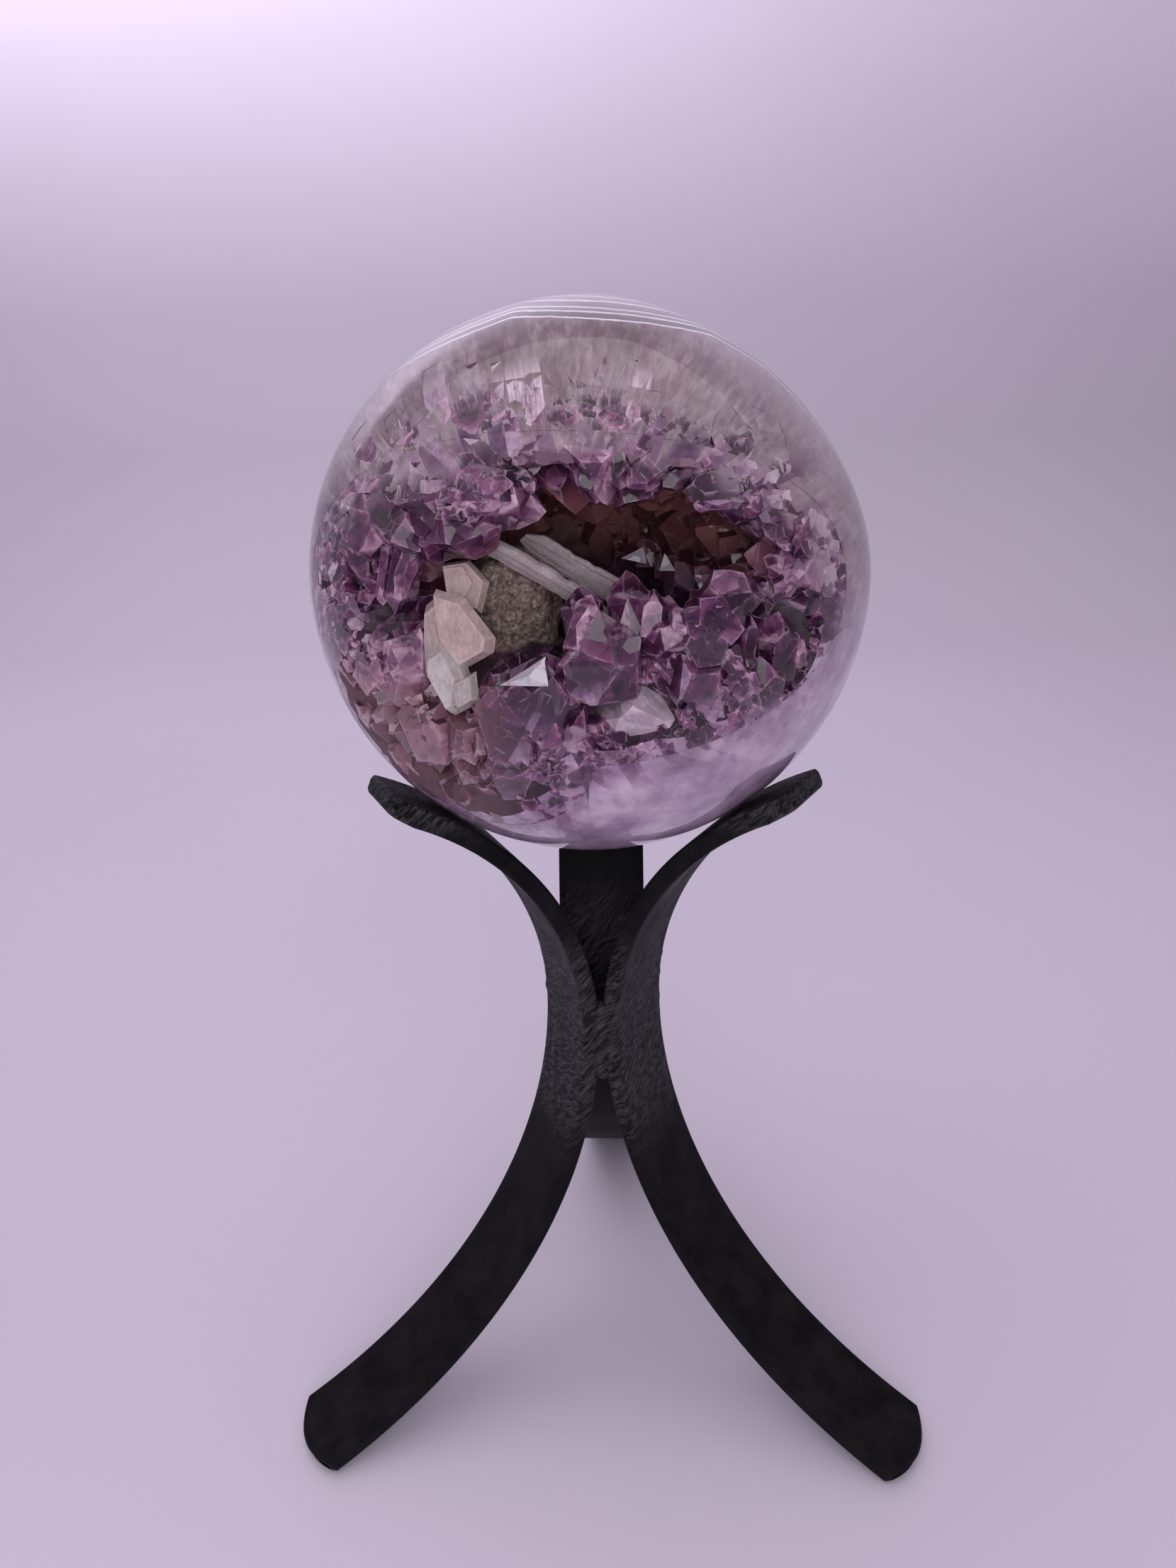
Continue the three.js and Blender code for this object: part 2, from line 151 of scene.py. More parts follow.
# Crystals that the photograph shows one by one: tip, pointing direction, radius, and for some a tag from
# dark to light
MAIN_CRYSTALS = (
    ((-12.9, -52.5, 32.3), (0.06, -0.45, -0.89), 5.2),
    ((-20.4, -51.1, 29.6), (0.6, -0.49, -0.6), 4.6),
    ((-38.4, -41.5, 27.7), (-0.37, 0.07, -0.93), 3.4),
    ((-36.8, -43, 30.9), (0.26, -0.6, -0.76), 3.2),
    ((-18.8, -50.9, 37.6), (0.14, -0.57, -0.81), 4.4, 1.1),
    ((-6.8, -53.3, 33.8), (0.03, -0.35, -0.93), 3),
    ((-1.2, -54, 36.1), (0.04, -0.42, -0.91), 2.6),
    ((4.7, -54.6, 30.1), (0.13, -0.33, -0.93), 4.6),
    ((-0.6, -47.2, 21.8), (0.12, -0.08, -0.99), 6, 0.1),
    ((6.7, -52.5, 30.4), (-0.21, -0.03, -0.98), 2.5, 0.8),
    ((8.3, -54.4, 36.5), (-0.04, -0.51, -0.86), 4, 1.1),
    ((13.7, -53, 29), (0.1, -0.1, -0.99), 3, 0.7),
    ((18.8, -52.2, 27.6), (-0.25, -0.29, -0.93), 4.4),
    ((25.4, -50.1, 26.3), (0.24, -0.03, -0.97), 3.8),
    ((32.6, -46.4, 27.3), (0.2, -0.05, -0.98), 3.8),
    ((41.8, -44.6, 19.7), (0.01, -0.22, -0.98), 5.3, 1.2),
    ((-21.7, -53.4, 16.6), (0.85, -0.4, -0.34), 5.5),
    ((-22.5, -55.1, 13.2), (0.89, -0.43, 0.11), 3.4),
    ((-26.8, -47.1, 25.6), (0.83, -0.26, -0.49), 3.8),
    ((-31.2, -54.1, 16.2), (0.63, -0.67, -0.39), 5),
    ((-39.6, -50.6, 17.3), (0.56, -0.82, -0.12), 5.4, 0.9),
    ((-40, -50.5, 8.4), (0.6, -0.66, -0.45), 3.6),
    ((-38.4, -51.1, 2.6), (-0.28, -0.2, -0.94), 3.2),
    ((-35.5, -44, 25.5), (0.75, -0.63, -0.17), 3),
    ((-8, -56.9, 7.8), (-0.13, 0.2, 0.95), 4, 0.2),
    ((0.8, -58.2, 9.6), (-0.02, 0.2, 0.96), 3.8, 0.15),
    ((9.7, -56, 11.8), (-0.05, 0.2, 0.96), 4.2),
    ((15.2, -56.4, 8.1), (0.11, 0.3, 0.94), 3, 0.5),
    ((26.3, -52.4, 6.2), (0.28, 0.3, 0.9), 5, 0.3),
    ((33.4, -50.9, 3.4), (0.16, 0.09, 0.98), 4.2, 0.3),
    ((5, -64.5, 5.8), (0.01, -0.28, 0.96), 9, 0.2),
    ((22.4, -58.8, 2.2), (0.03, -0.15, 0.99), 5.8, 0.3),
    ((20.5, -63.2, -3.4), (-0.35, -0.5, 0.79), 6, 0.4),
    ((-6.8, -66.6, -2.6), (0.04, -0.51, 0.86), 7.8, 0.15),
    ((-4.8, -65.3, -14.1), (0.3, -0.53, 0.79), 4.2, 0.5),
    ((-13.6, -62.2, -19.2), (0.24, -0.63, 0.74), 4.6, 0.3),
    ((-22.6, -60, -7.4), (-0.2, -0.37, 0.91), 4, 0.2),
    ((36.8, -53.8, -6.6), (0.03, -0.35, 0.94), 5.6, 0.3),
    ((41.2, -49, 1.3), (0.02, -0.19, 0.98), 4.6, 0.3),
    ((10.8, -66.8, -13.8), (-0.06, -0.94, 0.33), 8.4, 1.3),
)
# Bright broken faces, whose tag gives them a painted reflection: three corners, depth of the chip behind
# them, and tag
BRIGHT_FACES = (
    (((-15.5, -66.3, -8.5), (-5.9, -68.4, -2.2), (-5.7, -67.9, -8.4)), 7.0, 2.0),
    (((8.7, -47.6, 12.7), (13.2, -46.2, 14.6), (13.9, -46.8, 11.3)), 7.0, 1.6),
    (((16.5, -46.3, 9.7), (17.7, -45.0, 13.1), (19.8, -45.3, 9.5)), 7.0, 1.5),
    (((10.8, -60.5, 8.4), (9.9, -61.2, 4.9), (15.9, -60.3, 1.0)), 6.0, 1.6),
)
MAIN_CRYSTAL_LENGTH = 17.0
# Main crystals above this height and in front of this depth take room in the quartz too
COLUMN_ABOVE = 24
COLUMN_BEFORE = -46
# How long a crystal is behind its place on the wall, the radius from which others grow beside it, and the
# size of the crystals that fill the gaps along the rim
CRYSTAL_ROOT = 8.0
GROUP_RADIUS = 2.6
SMALL_SCALE = 0.42
# A crystal ends where it would come out into a hollow this much smaller, and is left out when it is
# shorter than this many radii
HOLLOW_SCALE = 0.92
LEAST_LENGTH = 1.3
PYRAMID_ANGLE = math.radians(38.2)

# Calcite about the stone's centre. Blades: two ends, width, thickness, roll in degrees, bow and seed.
BLADES = {
    "calcite_blade": ((-24.5, -47.5, 19.3), (6.2, -51, 1.4), 4.8, 2.1, 25, 0.7, 3.0),
    "calcite_blade_rear": ((-12, -41, 16.5), (12.2, -44, 2.4), 6.2, 1.4, 10, -0.3, 8.0),
}
# Plates: centre, the way they face, and slabs as (outline, lower and upper height, share drawn in)
PLATES = {
    "calcite_plate": (
        (-26, -57, -4),
        (-0.42, -1, 0.12),
        (
            (((-7, 9), (-3, 12), (2.6, -2.6), (5.5, -10), (-0.5, -13.5), (-7.5, -4)), -1.3, 0.8, 0.16),
            (((-4.5, 12.5), (2.5, 11), (9.5, 3.5), (9, 0.5), (2.2, -3.4), (-3, 2.5)), -1.2, 1.5, 0.15),
            (((-6, -1), (-2, 1.5), (1.8, -5.5), (0.5, -12.4), (-1, -13), (-6.2, -5)), -0.8, 1.3, 0.2),
            (((5.2, -3.5), (5.9, -9.5), (1.6, -12.2), (-0.2, -6)), -0.6, 1.6, 0.25),
        ),
    ),
    "calcite_plate_small": (
        (-24, -50.8, 8.3),
        (-0.2, -1, 0.3),
        (
            (((-5, 4.5), (1, 5.5), (5.5, 1), (4, -5.5), (-3.5, -3.5)), -1, 0.7, 0.16),
            (((-4.4, 4.2), (0.4, 4.8), (3.4, 0.6), (1, -3.4), (-3.4, -3)), -0.5, 1.1, 0.22),
        ),
    ),
}
SLAB_TAG_STEP = 0.37
# Calcite from dark to light, and the pink corner of the cream one as (direction, distance, colour)
CREAM_SHADES = ((0.38, 0.33, 0.31), (0.58, 0.52, 0.5), (0.8, 0.74, 0.73))
CREAM_BLUSH = ((0.5, 0, 0.87), -16.5, (1.08, 0.88, 0.88))
CLEAR_SHADES = ((0.34, 0.26, 0.29), (0.66, 0.56, 0.6), (0.98, 0.93, 0.96))

# Stand, in millimetres about its own axis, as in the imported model
BAR_WIDTH = 25.0
BAR_THICKNESS = 5.0
WAIST_RADIUS = 7.5
ARM_BEND_RADIUS = 87.0
ARM_LENGTH = 98.8
LEG_RADIUS_AT_WAIST = 118.0
LEG_RADIUS_AT_FOOT = 146.5
LEG_LENGTH = 165.5
FOOT_ROUNDING = 4.8
FOOT_GROUND_OFF = 0.8
ARM_CORNER_GROUND = 6.0
END_BLEND = 24.0
# Rings that round off a bar's ends: millimetres from the end, and share of the edge's rounding drawn in
END_TUCKS = ((0.0, 1.0), (0.3, 0.55), (0.65, 0.2))
# Grinder marks: heights above the waist they lie about and how they fade away from there, and the heights
# over which the bars' ends take them on
WAIST_MARKS_HEIGHT = -4
WAIST_MARKS_FADE = (18, 42)
END_MARKS_FADE = (66, 74)
# Burrs along one edge at the waist: middle, how they fade away from there, and height
BURR_MIDDLE = 4
BURR_FADE = (10, 16)
BURR_HEIGHT = 2.2
BAR_ANGLES = {"bar_back": 90, "bar_left": 210, "bar_right": 330}
WELD_ANGLES = {"weld_front": 270, "weld_right": 30, "weld_left": 150}
WELD_LENGTH = 26.0
WELD_DROP = 5.0
WELD_HALF_WIDTH = 3.7
# How far a weld's ends lie inside the groove's edge, how much farther its middle does, and how far it
# bulges outwards and inwards
WELD_INSET = 0.6
WELD_SUNK = 0.9
WELD_BULGES = (2.4, 1.4)

# Camera, in metres in the frame's space
CAMERA_AT = Vector((0.010389, -0.286224, 0.295774))
CAMERA_TARGET = Vector((-0.004015, -0.018553, 0.189770))
CAMERA_SIDE_SHIFT = 0.0018
CAMERA_ROLL = -0.0329165
CAMERA_LENS = 24.412
# Studio, in metres: where the floor starts to curve up and how tightly
SWEEP_START = 0.55
SWEEP_RADIUS = 0.35
# Lamps: place, target, size, colour, and whether the polish shows them
LAMPS = {
    "overhead": ((-0.35, 0.1, 1.5), (0, 0, 0.1), (1.3, 1.3), (1, 0.94, 1), False),
    "low": ((0.05, -0.7, 0.12), (0, -0.04, 0.27), (0.35, 0.2), (1, 0.9, 0.94), False),
    "wash": ((-0.45, 0.6, 0.88), (-0.35, 0.9, 0.65), (1.1, 0.2), (1, 0.92, 1), False),
    "front": ((0.02, -0.55, 0.42), (0, -0.05, 0.25), (0.4, 0.4), (1, 0.96, 1), True),
}


def stone_centre():
    """Centre of the stone in the frame's space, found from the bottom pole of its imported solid."""
    lowest = min(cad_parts["quartz_ball"].data.vertices, key=lambda v: v.co.z).co
    return lowest + Vector((0, 0, STONE_RADIUS * MM))


def stand_axis():
    """Point on the floor under the stand's axis, which the stone is centred over."""
    centre = stone_centre()
    return Vector((centre.x, centre.y, 0))


def smoothstep(value, low, high):
    t = min(1.0, max(0.0, (value - low) / (high - low)))
    return t * t * (3 - 2 * t)


def stone_reach(direction):
    """Distance in millimetres from the stone's centre to its polished surface."""
    upward = max(0.0, direction.z)
    flat = 1 - smoothstep(direction.angle(SHOULDER_DIRECTION), SHOULDER_INNER, SHOULDER_OUTER)
    return STONE_RADIUS * (1 - TOP_FLATTENING * upward**2) - SHOULDER_DEPTH * flat


# Mesh helpers


def new_mesh(name, bm, materials):
    """Turns a bmesh into a mesh data block that has the materials."""
    mesh = bpy.data.meshes.new(name)
    bm.to_mesh(mesh)
    bm.free()
    for material in materials:
        mesh.materials.append(material)
    return mesh


def new_object(name, data):
    obj = bpy.data.objects.new(name, data)
    bpy.context.scene.collection.objects.link(obj)
    return obj


def add_piece(name, mesh, slot, *nodes):
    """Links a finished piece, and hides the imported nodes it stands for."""
    piece = new_object(name, mesh)
    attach(piece, "root")
    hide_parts(*nodes)


def solid_from_steps(name, steps):
    """Mesh made from a base mesh and boolean steps (operation, [meshes]), worked out in order."""
    scene = bpy.context.scene
    base = new_object(name, steps[0])
    used = [base]
    collections = []
    for operation, meshes in steps[1:]:
        group = bpy.data.collections.new(name + "_tools")
        scene.collection.children.link(group)
        collections.append(group)
        for mesh in meshes:
            tool = bpy.data.objects.new(name + "_tool", mesh)
            group.objects.link(tool)
            used.append(tool)
        step = base.modifiers.new(operation, "BOOLEAN")
        step.operation = operation
        step.operand_type = "COLLECTION"
        step.collection = group
        step.solver = "MANIFOLD"
        step.material_mode = "TRANSFER"
    depsgraph = bpy.context.evaluated_depsgraph_get()
    result = bpy.data.meshes.new_from_object(
        base.evaluated_get(depsgraph), preserve_all_data_layers=True, depsgraph=depsgraph
    )
    for obj in used:
        bpy.data.objects.remove(obj)
    for group in collections:
        bpy.data.collections.remove(group)
    if not result.polygons:
        raise RuntimeError(f"the solid for {name} came out empty")
    result.name = name
    return result


def keep_values(mesh, domain, **lists):
    """Keeps named numbers on a mesh's faces, corners or points, for its material to read. One number does
    for all."""
    for name, values in lists.items():
        kept = mesh.attributes.get(name) or mesh.attributes.new(name, "FLOAT", domain)
        kept.data.foreach_set("value", values if isinstance(values, list) else [values] * len(kept.data))
    return mesh


def rock_values(mesh):
    """Marks a mesh as bed or wall, which has no edges of its own."""
    # the bed and wall take one middling painted facet shade
    return keep_values(mesh, "FACE", crystal=0.25, facet=0.3, source=0.0)


def shaped_sphere(subdivisions, place):
    """Closed bmesh with a vertex in every direction, where the function puts it."""
    bm = bmesh.new()
    bmesh.ops.create_icosphere(bm, subdivisions=subdivisions, radius=1.0)
    for vertex in bm.verts:
        vertex.co = place(vertex.co.normalized())
    return bm


def skin(bm, loops, fanned=True):
    """Closes a row of rings, and their two ends, into one solid. Each end is a fan or a single face."""
    for lower, upper in zip(loops, loops[1:]):
        for i in range(len(lower)):
            j = (i + 1) % len(lower)
            bm.faces.new((lower[i], lower[j], upper[j], upper[i]))
    for loop in (loops[0], loops[-1]):
        if not fanned:
            bm.faces.new(loop)
            continue
        middle = bm.verts.new(sum((v.co for v in loop), Vector()) / len(loop))
        for i in range(len(loop)):
            bm.faces.new((loop[i], loop[(i + 1) % len(loop)], middle))
    bmesh.ops.recalc_face_normals(bm, faces=bm.faces)


def make_smooth(bm):
    """Marks all faces as smooth, and gives the bmesh back."""
    for face in bm.faces:
        face.smooth = True
    return bm


def scatter(rnd, spread):
    """Random vector whose three parts are drawn one by one."""
    return Vector(rnd.gauss(0, spread) for _ in range(3))


def place_stone(mesh):
    """Moves a mesh from millimetres about the stone's centre into the frame's space."""
    mesh.transform(Matrix.Translation(stone_centre()) @ Matrix.Scale(MM, 4))
    return mesh


# Node helpers


class NodeMaker:
    """Adds and links the nodes of one material or world."""

    def __init__(self, owner):
        self.owner = owner
        owner.use_nodes = True
        self.tree = owner.node_tree
        self.tree.nodes.clear()

    def fill(self, socket, value):
        if isinstance(value, bpy.types.NodeSocket):
            self.tree.links.new(value, socket)
        elif value is not None:
            socket.default_value = value

    def add(self, kind, inputs=(), **settings):
        node = self.tree.nodes.new(kind)
        for key, value in settings.items():
            setattr(node, key, value)
        for key, value in dict(inputs).items():
            self.fill(node.inputs[key], value)
        return node

    def in_order(self, node, values):
        """Fills a node's first sockets, and gives all that comes out of it."""
        for socket, value in zip(node.inputs, values):
            self.fill(socket, value)
        return node.outputs

    def object_space(self):
        return self.add("ShaderNodeTexCoord").outputs["Object"]

    def attribute(self, name):
        return self.add("ShaderNodeAttribute", attribute_name=name).outputs["Fac"]

    def axes(self, vector):
        return self.add("ShaderNodeSeparateXYZ", {"Vector": vector}).outputs

    def split(self, colour):
        return self.add("ShaderNodeSeparateColor", {"Color": colour}).outputs

    def math(self, operation, *values):
        return self.in_order(self.add("ShaderNodeMath", operation=operation), values)[0]

    def plus(self, total, *others):
        for other in others:
            total = self.math("ADD", total, other)
        return total

    def times(self, total, *others):
        for other in others:
            total = self.math("MULTIPLY", total, other)
        return total

    def minus(self, first, second):
        return self.math("SUBTRACT", first, second)

    def larger(self, first, second):
        return self.math("MAXIMUM", first, second)

    def centred(self, value, width):
        """A value between 0 and 1, spread over a width about 0."""
        return self.times(self.minus(value, 0.5), width)

    def vector(self, operation, *values, output="Vector"):
        return self.in_order(self.add("ShaderNodeVectorMath", operation=operation), values)[output]

    def length(self, vector):
        return self.vector("LENGTH", vector, output="Value")

    def scaled(self, vector, factor):
        return self.add("ShaderNodeVectorMath", {0: vector, "Scale": factor}, operation="SCALE").outputs[0]

    def ranged(self, value, low, high, to_low=0.0, to_high=1.0, kind="LINEAR"):
        node = self.add("ShaderNodeMapRange", interpolation_type=kind)
        return self.in_order(node, (value, low, high, to_low, to_high))[0]

    def eased(self, value, low, high, to_low=0.0, to_high=1.0):
        return self.ranged(value, low, high, to_low, to_high, "SMOOTHSTEP")

    def ramp(self, factor, *stops):
        node = self.add("ShaderNodeValToRGB", {"Fac": factor})
        elements = node.color_ramp.elements
        while len(elements) < len(stops):
            elements.new(1.0)
        for element, (place, colour) in zip(elements, stops):
            element.position = place
            element.color = (*colour, 1)
        return node.outputs["Color"]

    def mix(self, factor, first, second, blend="MIX"):
        node = self.add("ShaderNodeMix", {"Factor": factor}, data_type="RGBA", blend_type=blend)
        for socket, value in ((node.inputs[6], first), (node.inputs[7], second)):
            self.fill(socket, (*value, 1) if isinstance(value, tuple) else value)
        return node.outputs[2]

    def noise(self, vector, scale, detail=3.0, roughness=0.5, distortion=0.0):
        numbers = {"Scale": scale, "Detail": detail, "Roughness": roughness, "Distortion": distortion}
        return self.add("ShaderNodeTexNoise", {"Vector": vector, **numbers}).outputs["Fac"]

    def voronoi(self, vector, scale, feature="F1"):
        return self.add("ShaderNodeTexVoronoi", {"Vector": vector, "Scale": scale}, feature=feature).outputs

    def leaning(self, cells):
        """A vector of its own for each cell, up to half long each way."""
        return self.vector("SUBTRACT", cells["Color"], (0.5, 0.5, 0.5))

    def leant_normal(self, lean):
        normal = self.add("ShaderNodeNewGeometry").outputs["Normal"]
        return self.vector("NORMALIZE", self.vector("ADD", normal, lean))

    def bump(self, height, strength, distance, normal=None):
        inputs = {"Height": height, "Strength": strength, "Distance": distance, "Normal": normal}
        return self.add("ShaderNodeBump", inputs).outputs[0]

    def finish(self, inputs):
        shader = self.add("ShaderNodeBsdfPrincipled", inputs)
        self.add("ShaderNodeOutputMaterial", {"Surface": shader.outputs[0]})
        return self.owner


def material_nodes(name):
    return NodeMaker(bpy.data.materials.new(name))


def stone_space(n):
    """Millimetres about the stone's centre, for any surface of the stone."""
    return n.scaled(n.vector("SUBTRACT", n.object_space(), tuple(stone_centre())), 1 / MM)


def outward_space(n, place, spread, along):
    """Space whose patterns run outwards from the hollow; along says how fast they change on the way."""
    from_vug = n.vector("SUBTRACT", place, tuple(VUG[0][0]))
    around = n.vector("NORMALIZE", n.vector("MULTIPLY", from_vug, (1, 0.12, 1)))
    return n.vector("ADD", n.scaled(around, spread), n.scaled(from_vug, along))


def past_plane(n, place, normal, distance):
    return n.minus(n.vector("DOT_PRODUCT", place, normal, output="Value"), distance)


def beyond(n, place, centre, semi):
    """About how many millimetres a place lies outside an ellipsoid; negative inside."""
    scaled = n.vector("DIVIDE", n.vector("SUBTRACT", place, tuple(centre)), tuple(semi))
    return n.times(n.minus(n.length(scaled), 1.0), sum(semi) / 3)


def quartz_depth(n, place):
    """How far a place lies in the pale quartz, away from the amethyst; negative in the amethyst."""
    return n.math("SMOOTH_MIN", *(beyond(n, place, *space) for space in VUG), VUG_BLEND)


def amethyst_colour(n, place, depth, shade=0.0):
    """Colour of a crystal: each a little different, clear and full of flaws, with painted light: highlights
    on its edges, a shade on each face and reflections inside.
    """
    names = ("crystal", "facet", "along", "inset", "source")
    crystal, facet, along, inset, source = (n.attribute(name) for name in names)
    x, _, z = n.axes(place)
    # painted light and shade: each face's facet value, drawn at random, makes it lighter or darker as a
    # clear crystal's faces are by the light
    tone = n.plus(n.times(crystal, 0.3), n.times(n.noise(place, 0.28, 5, 0.62), 0.28), n.times(facet, 0.4))
    # painted highlight: each face is lighter near its edges and darker in the middle, as clear crystals look
    # in the light
    tone = n.plus(tone, n.ranged(inset, 0.1, 2.6, 0.05 - shade, -0.12 - shade * 1.5))
    # painted reflections: other crystals seen through a clear one and reflected inside it, together with its
    # flaws, as polygons of light and dark
    inner, tiny = (n.split(n.voronoi(place, scale)["Color"])[0] for scale in (0.3, 0.75))
    tone = n.plus(tone, n.centred(inner, 0.3), n.centred(tiny, 0.12))
    tone = n.plus(tone, n.ranged(x, 8, 40, 0, -0.07), n.ranged(z, 16, 26, 0, -0.07))
    colour = n.ramp(
        tone,
        (0.2, (0.02, 0.004, 0.017)),
        (0.42, (0.075, 0.019, 0.065)),
        (0.62, (0.21, 0.072, 0.165)),
        (0.86, (0.64, 0.42, 0.55)),
    )
    # pale crystals are icy, and above they are streaked
    streak = n.noise(outward_space(n, place, 60.0, 0.1), 0.8, 5, 0.7)
    icy = n.larger(n.ranged(streak, 0.4, 0.6, 0.1, 1), n.ranged(z, 14, 4, 0, 0.65))
    colour = n.mix(n.times(n.ranged(crystal, 1.12, 1.28, 0, 0.9), icy), colour, (0.66, 0.57, 0.65))
    # painted reflections: broken faces painted grey as if they shone, and one painted as a bright mirror
    # with an orange patch
    colour = n.mix(n.ranged(crystal, 1.35, 1.45), colour, (0.22, 0.2, 0.24))
    orange_patch = n.ranged(n.noise(place, 0.5, 4, 0.7), 0.5, 0.66)
    painted_mirror = n.mix(orange_patch, (0.78, 0.76, 0.84), (0.5, 0.3, 0.24))
    colour = n.mix(n.ranged(crystal, 1.8, 1.9), colour, painted_mirror)
    # painted glints: the faces with the highest facet values are pale, as if they caught the light
    colour = n.mix(n.ranged(facet, 0.93, 0.95, 0, 0.5), colour, (0.34, 0.25, 0.36))
    # painted light: deep in the cavity the stone is painted brown and red, lighter farther in, for light
    # that comes through the roof; each face darker or lighter by its facet value
    reach = n.length(place)
    deep = n.times(n.eased(reach, 62, 54), n.eased(z, 0, 14), n.ranged(crystal, 1.4, 1.5, 0.85, 0))
    light = n.mix(n.ranged(reach, 52, 36), (0.4, 0.16, 0.19), (0.85, 0.36, 0.34))
    colour = n.mix(deep, colour, n.mix(facet, (0.11, 0.028, 0.035), light))
    # at the lower left the crystals are pinkish brown, with painted shade: darker or lighter by each face's
    # facet value
    left = n.times(n.eased(x, -8, -26), n.eased(z, -2, -16), 0.6)
    colour = n.mix(left, colour, n.mix(facet, (0.09, 0.036, 0.045), (0.42, 0.23, 0.24)))
    # roots are pale, and so is what has grown close to the quartz, with painted shade: darker or lighter by
    # each face's facet value
    rooted = n.times(n.eased(along, 0.6, 0.2), n.eased(depth, -9, -1), n.eased(z, -6, 16, 0.25, 1), 0.7)
    colour = n.mix(rooted, colour, n.mix(facet, (0.2, 0.13, 0.17), (0.66, 0.56, 0.62)))
    # fine streaks run along the columns above, whose tips are pink
    streaks = n.times(n.ranged(streak, 0.5, 0.7), n.ranged(along, 0.75, 0.4, 0, 0.45), n.eased(z, 32, 38))
    colour = n.mix(streaks, colour, (0.85, 0.8, 0.86))
    tipped = n.times(n.ranged(along, 0.8, 1.0, 0, 0.5), n.eased(z, 18, 30), n.ranged(facet, 0.3, 0.8))
    colour = n.mix(tipped, colour, (0.55, 0.34, 0.42))
    # painted light: the bed between the crystals above is painted as light as they are, to lift the shade on
    # its sunk step
    bed = n.times(n.ranged(source, 0.8, 0.2, 0, 0.8), n.eased(z, 10, 24), n.ranged(reach, 58, 62))
    colour = n.mix(bed, colour, n.mix(inner, (0.09, 0.035, 0.075), (0.34, 0.19, 0.27)))
    # painted highlights: pale lines along the edges, as if they caught the light; then pale cracks where
    # flaws meet
    lines = n.times(n.ranged(inset, 0.24, 0.06), n.ranged(n.noise(place, 0.5, 3), 0.42, 0.6), 0.4)
    colour = n.mix(lines, colour, (0.66, 0.46, 0.58))
    crack = n.voronoi(place, 0.3, "DISTANCE_TO_EDGE")["Distance"]
    cracks = n.times(n.ranged(crack, 0.03, 0.008), n.ranged(n.noise(place, 0.22, 2), 0.53, 0.65), 0.22)
    return n.mix(cracks, colour, (0.75, 0.55, 0.64))


def agate_colour(n, place, y, clouds):
    """Agate in thin straight bands, with corners where its flat layers meet, and a place's depth in it."""
    layer, *rises = (past_plane(n, place, *plane) for plane in AGATE_LAYERS)
    for rise in rises:
        layer = n.math("SMOOTH_MAX", layer, rise, AGATE_BLEND)
    layer = n.plus(layer, n.centred(n.noise(place, 0.3, 3), 0.5))
    # on the back the bands are wider apart, wavy and faint
    waves = n.centred(n.noise(place, 0.03, 2, 0.5), 14.0)
    layer = n.plus(layer, n.times(waves, n.eased(y, 0, 35)))
    stops = [(0.0, AGATE_WHITE), (0.035, AGATE_WHITE), (0.055, AGATE_SMOKY)]
    for middle, half, before in AGATE_LINES:
        stops += [(middle - half - AGATE_FADE, before), (middle - half, AGATE_WHITE)]
        stops += [(middle + half, AGATE_WHITE), (middle + half + AGATE_FADE, AGATE_SMOKY)]
    bands = n.ramp(n.math("FRACT", n.math("DIVIDE", layer, AGATE_PERIOD)), *stops)
    mellow = n.times(n.ranged(n.noise(place, 0.05, 2), 0.35, 0.65), 0.35)
    faded = n.larger(mellow, n.eased(y, 0, 30, 0, 0.85))
    faded = n.larger(faded, n.eased(layer, 5.5, 9, 0, 0.75))
    return n.mix(faded, bands, n.mix(clouds, (0.2, 0.165, 0.2), (0.5, 0.43, 0.5))), layer


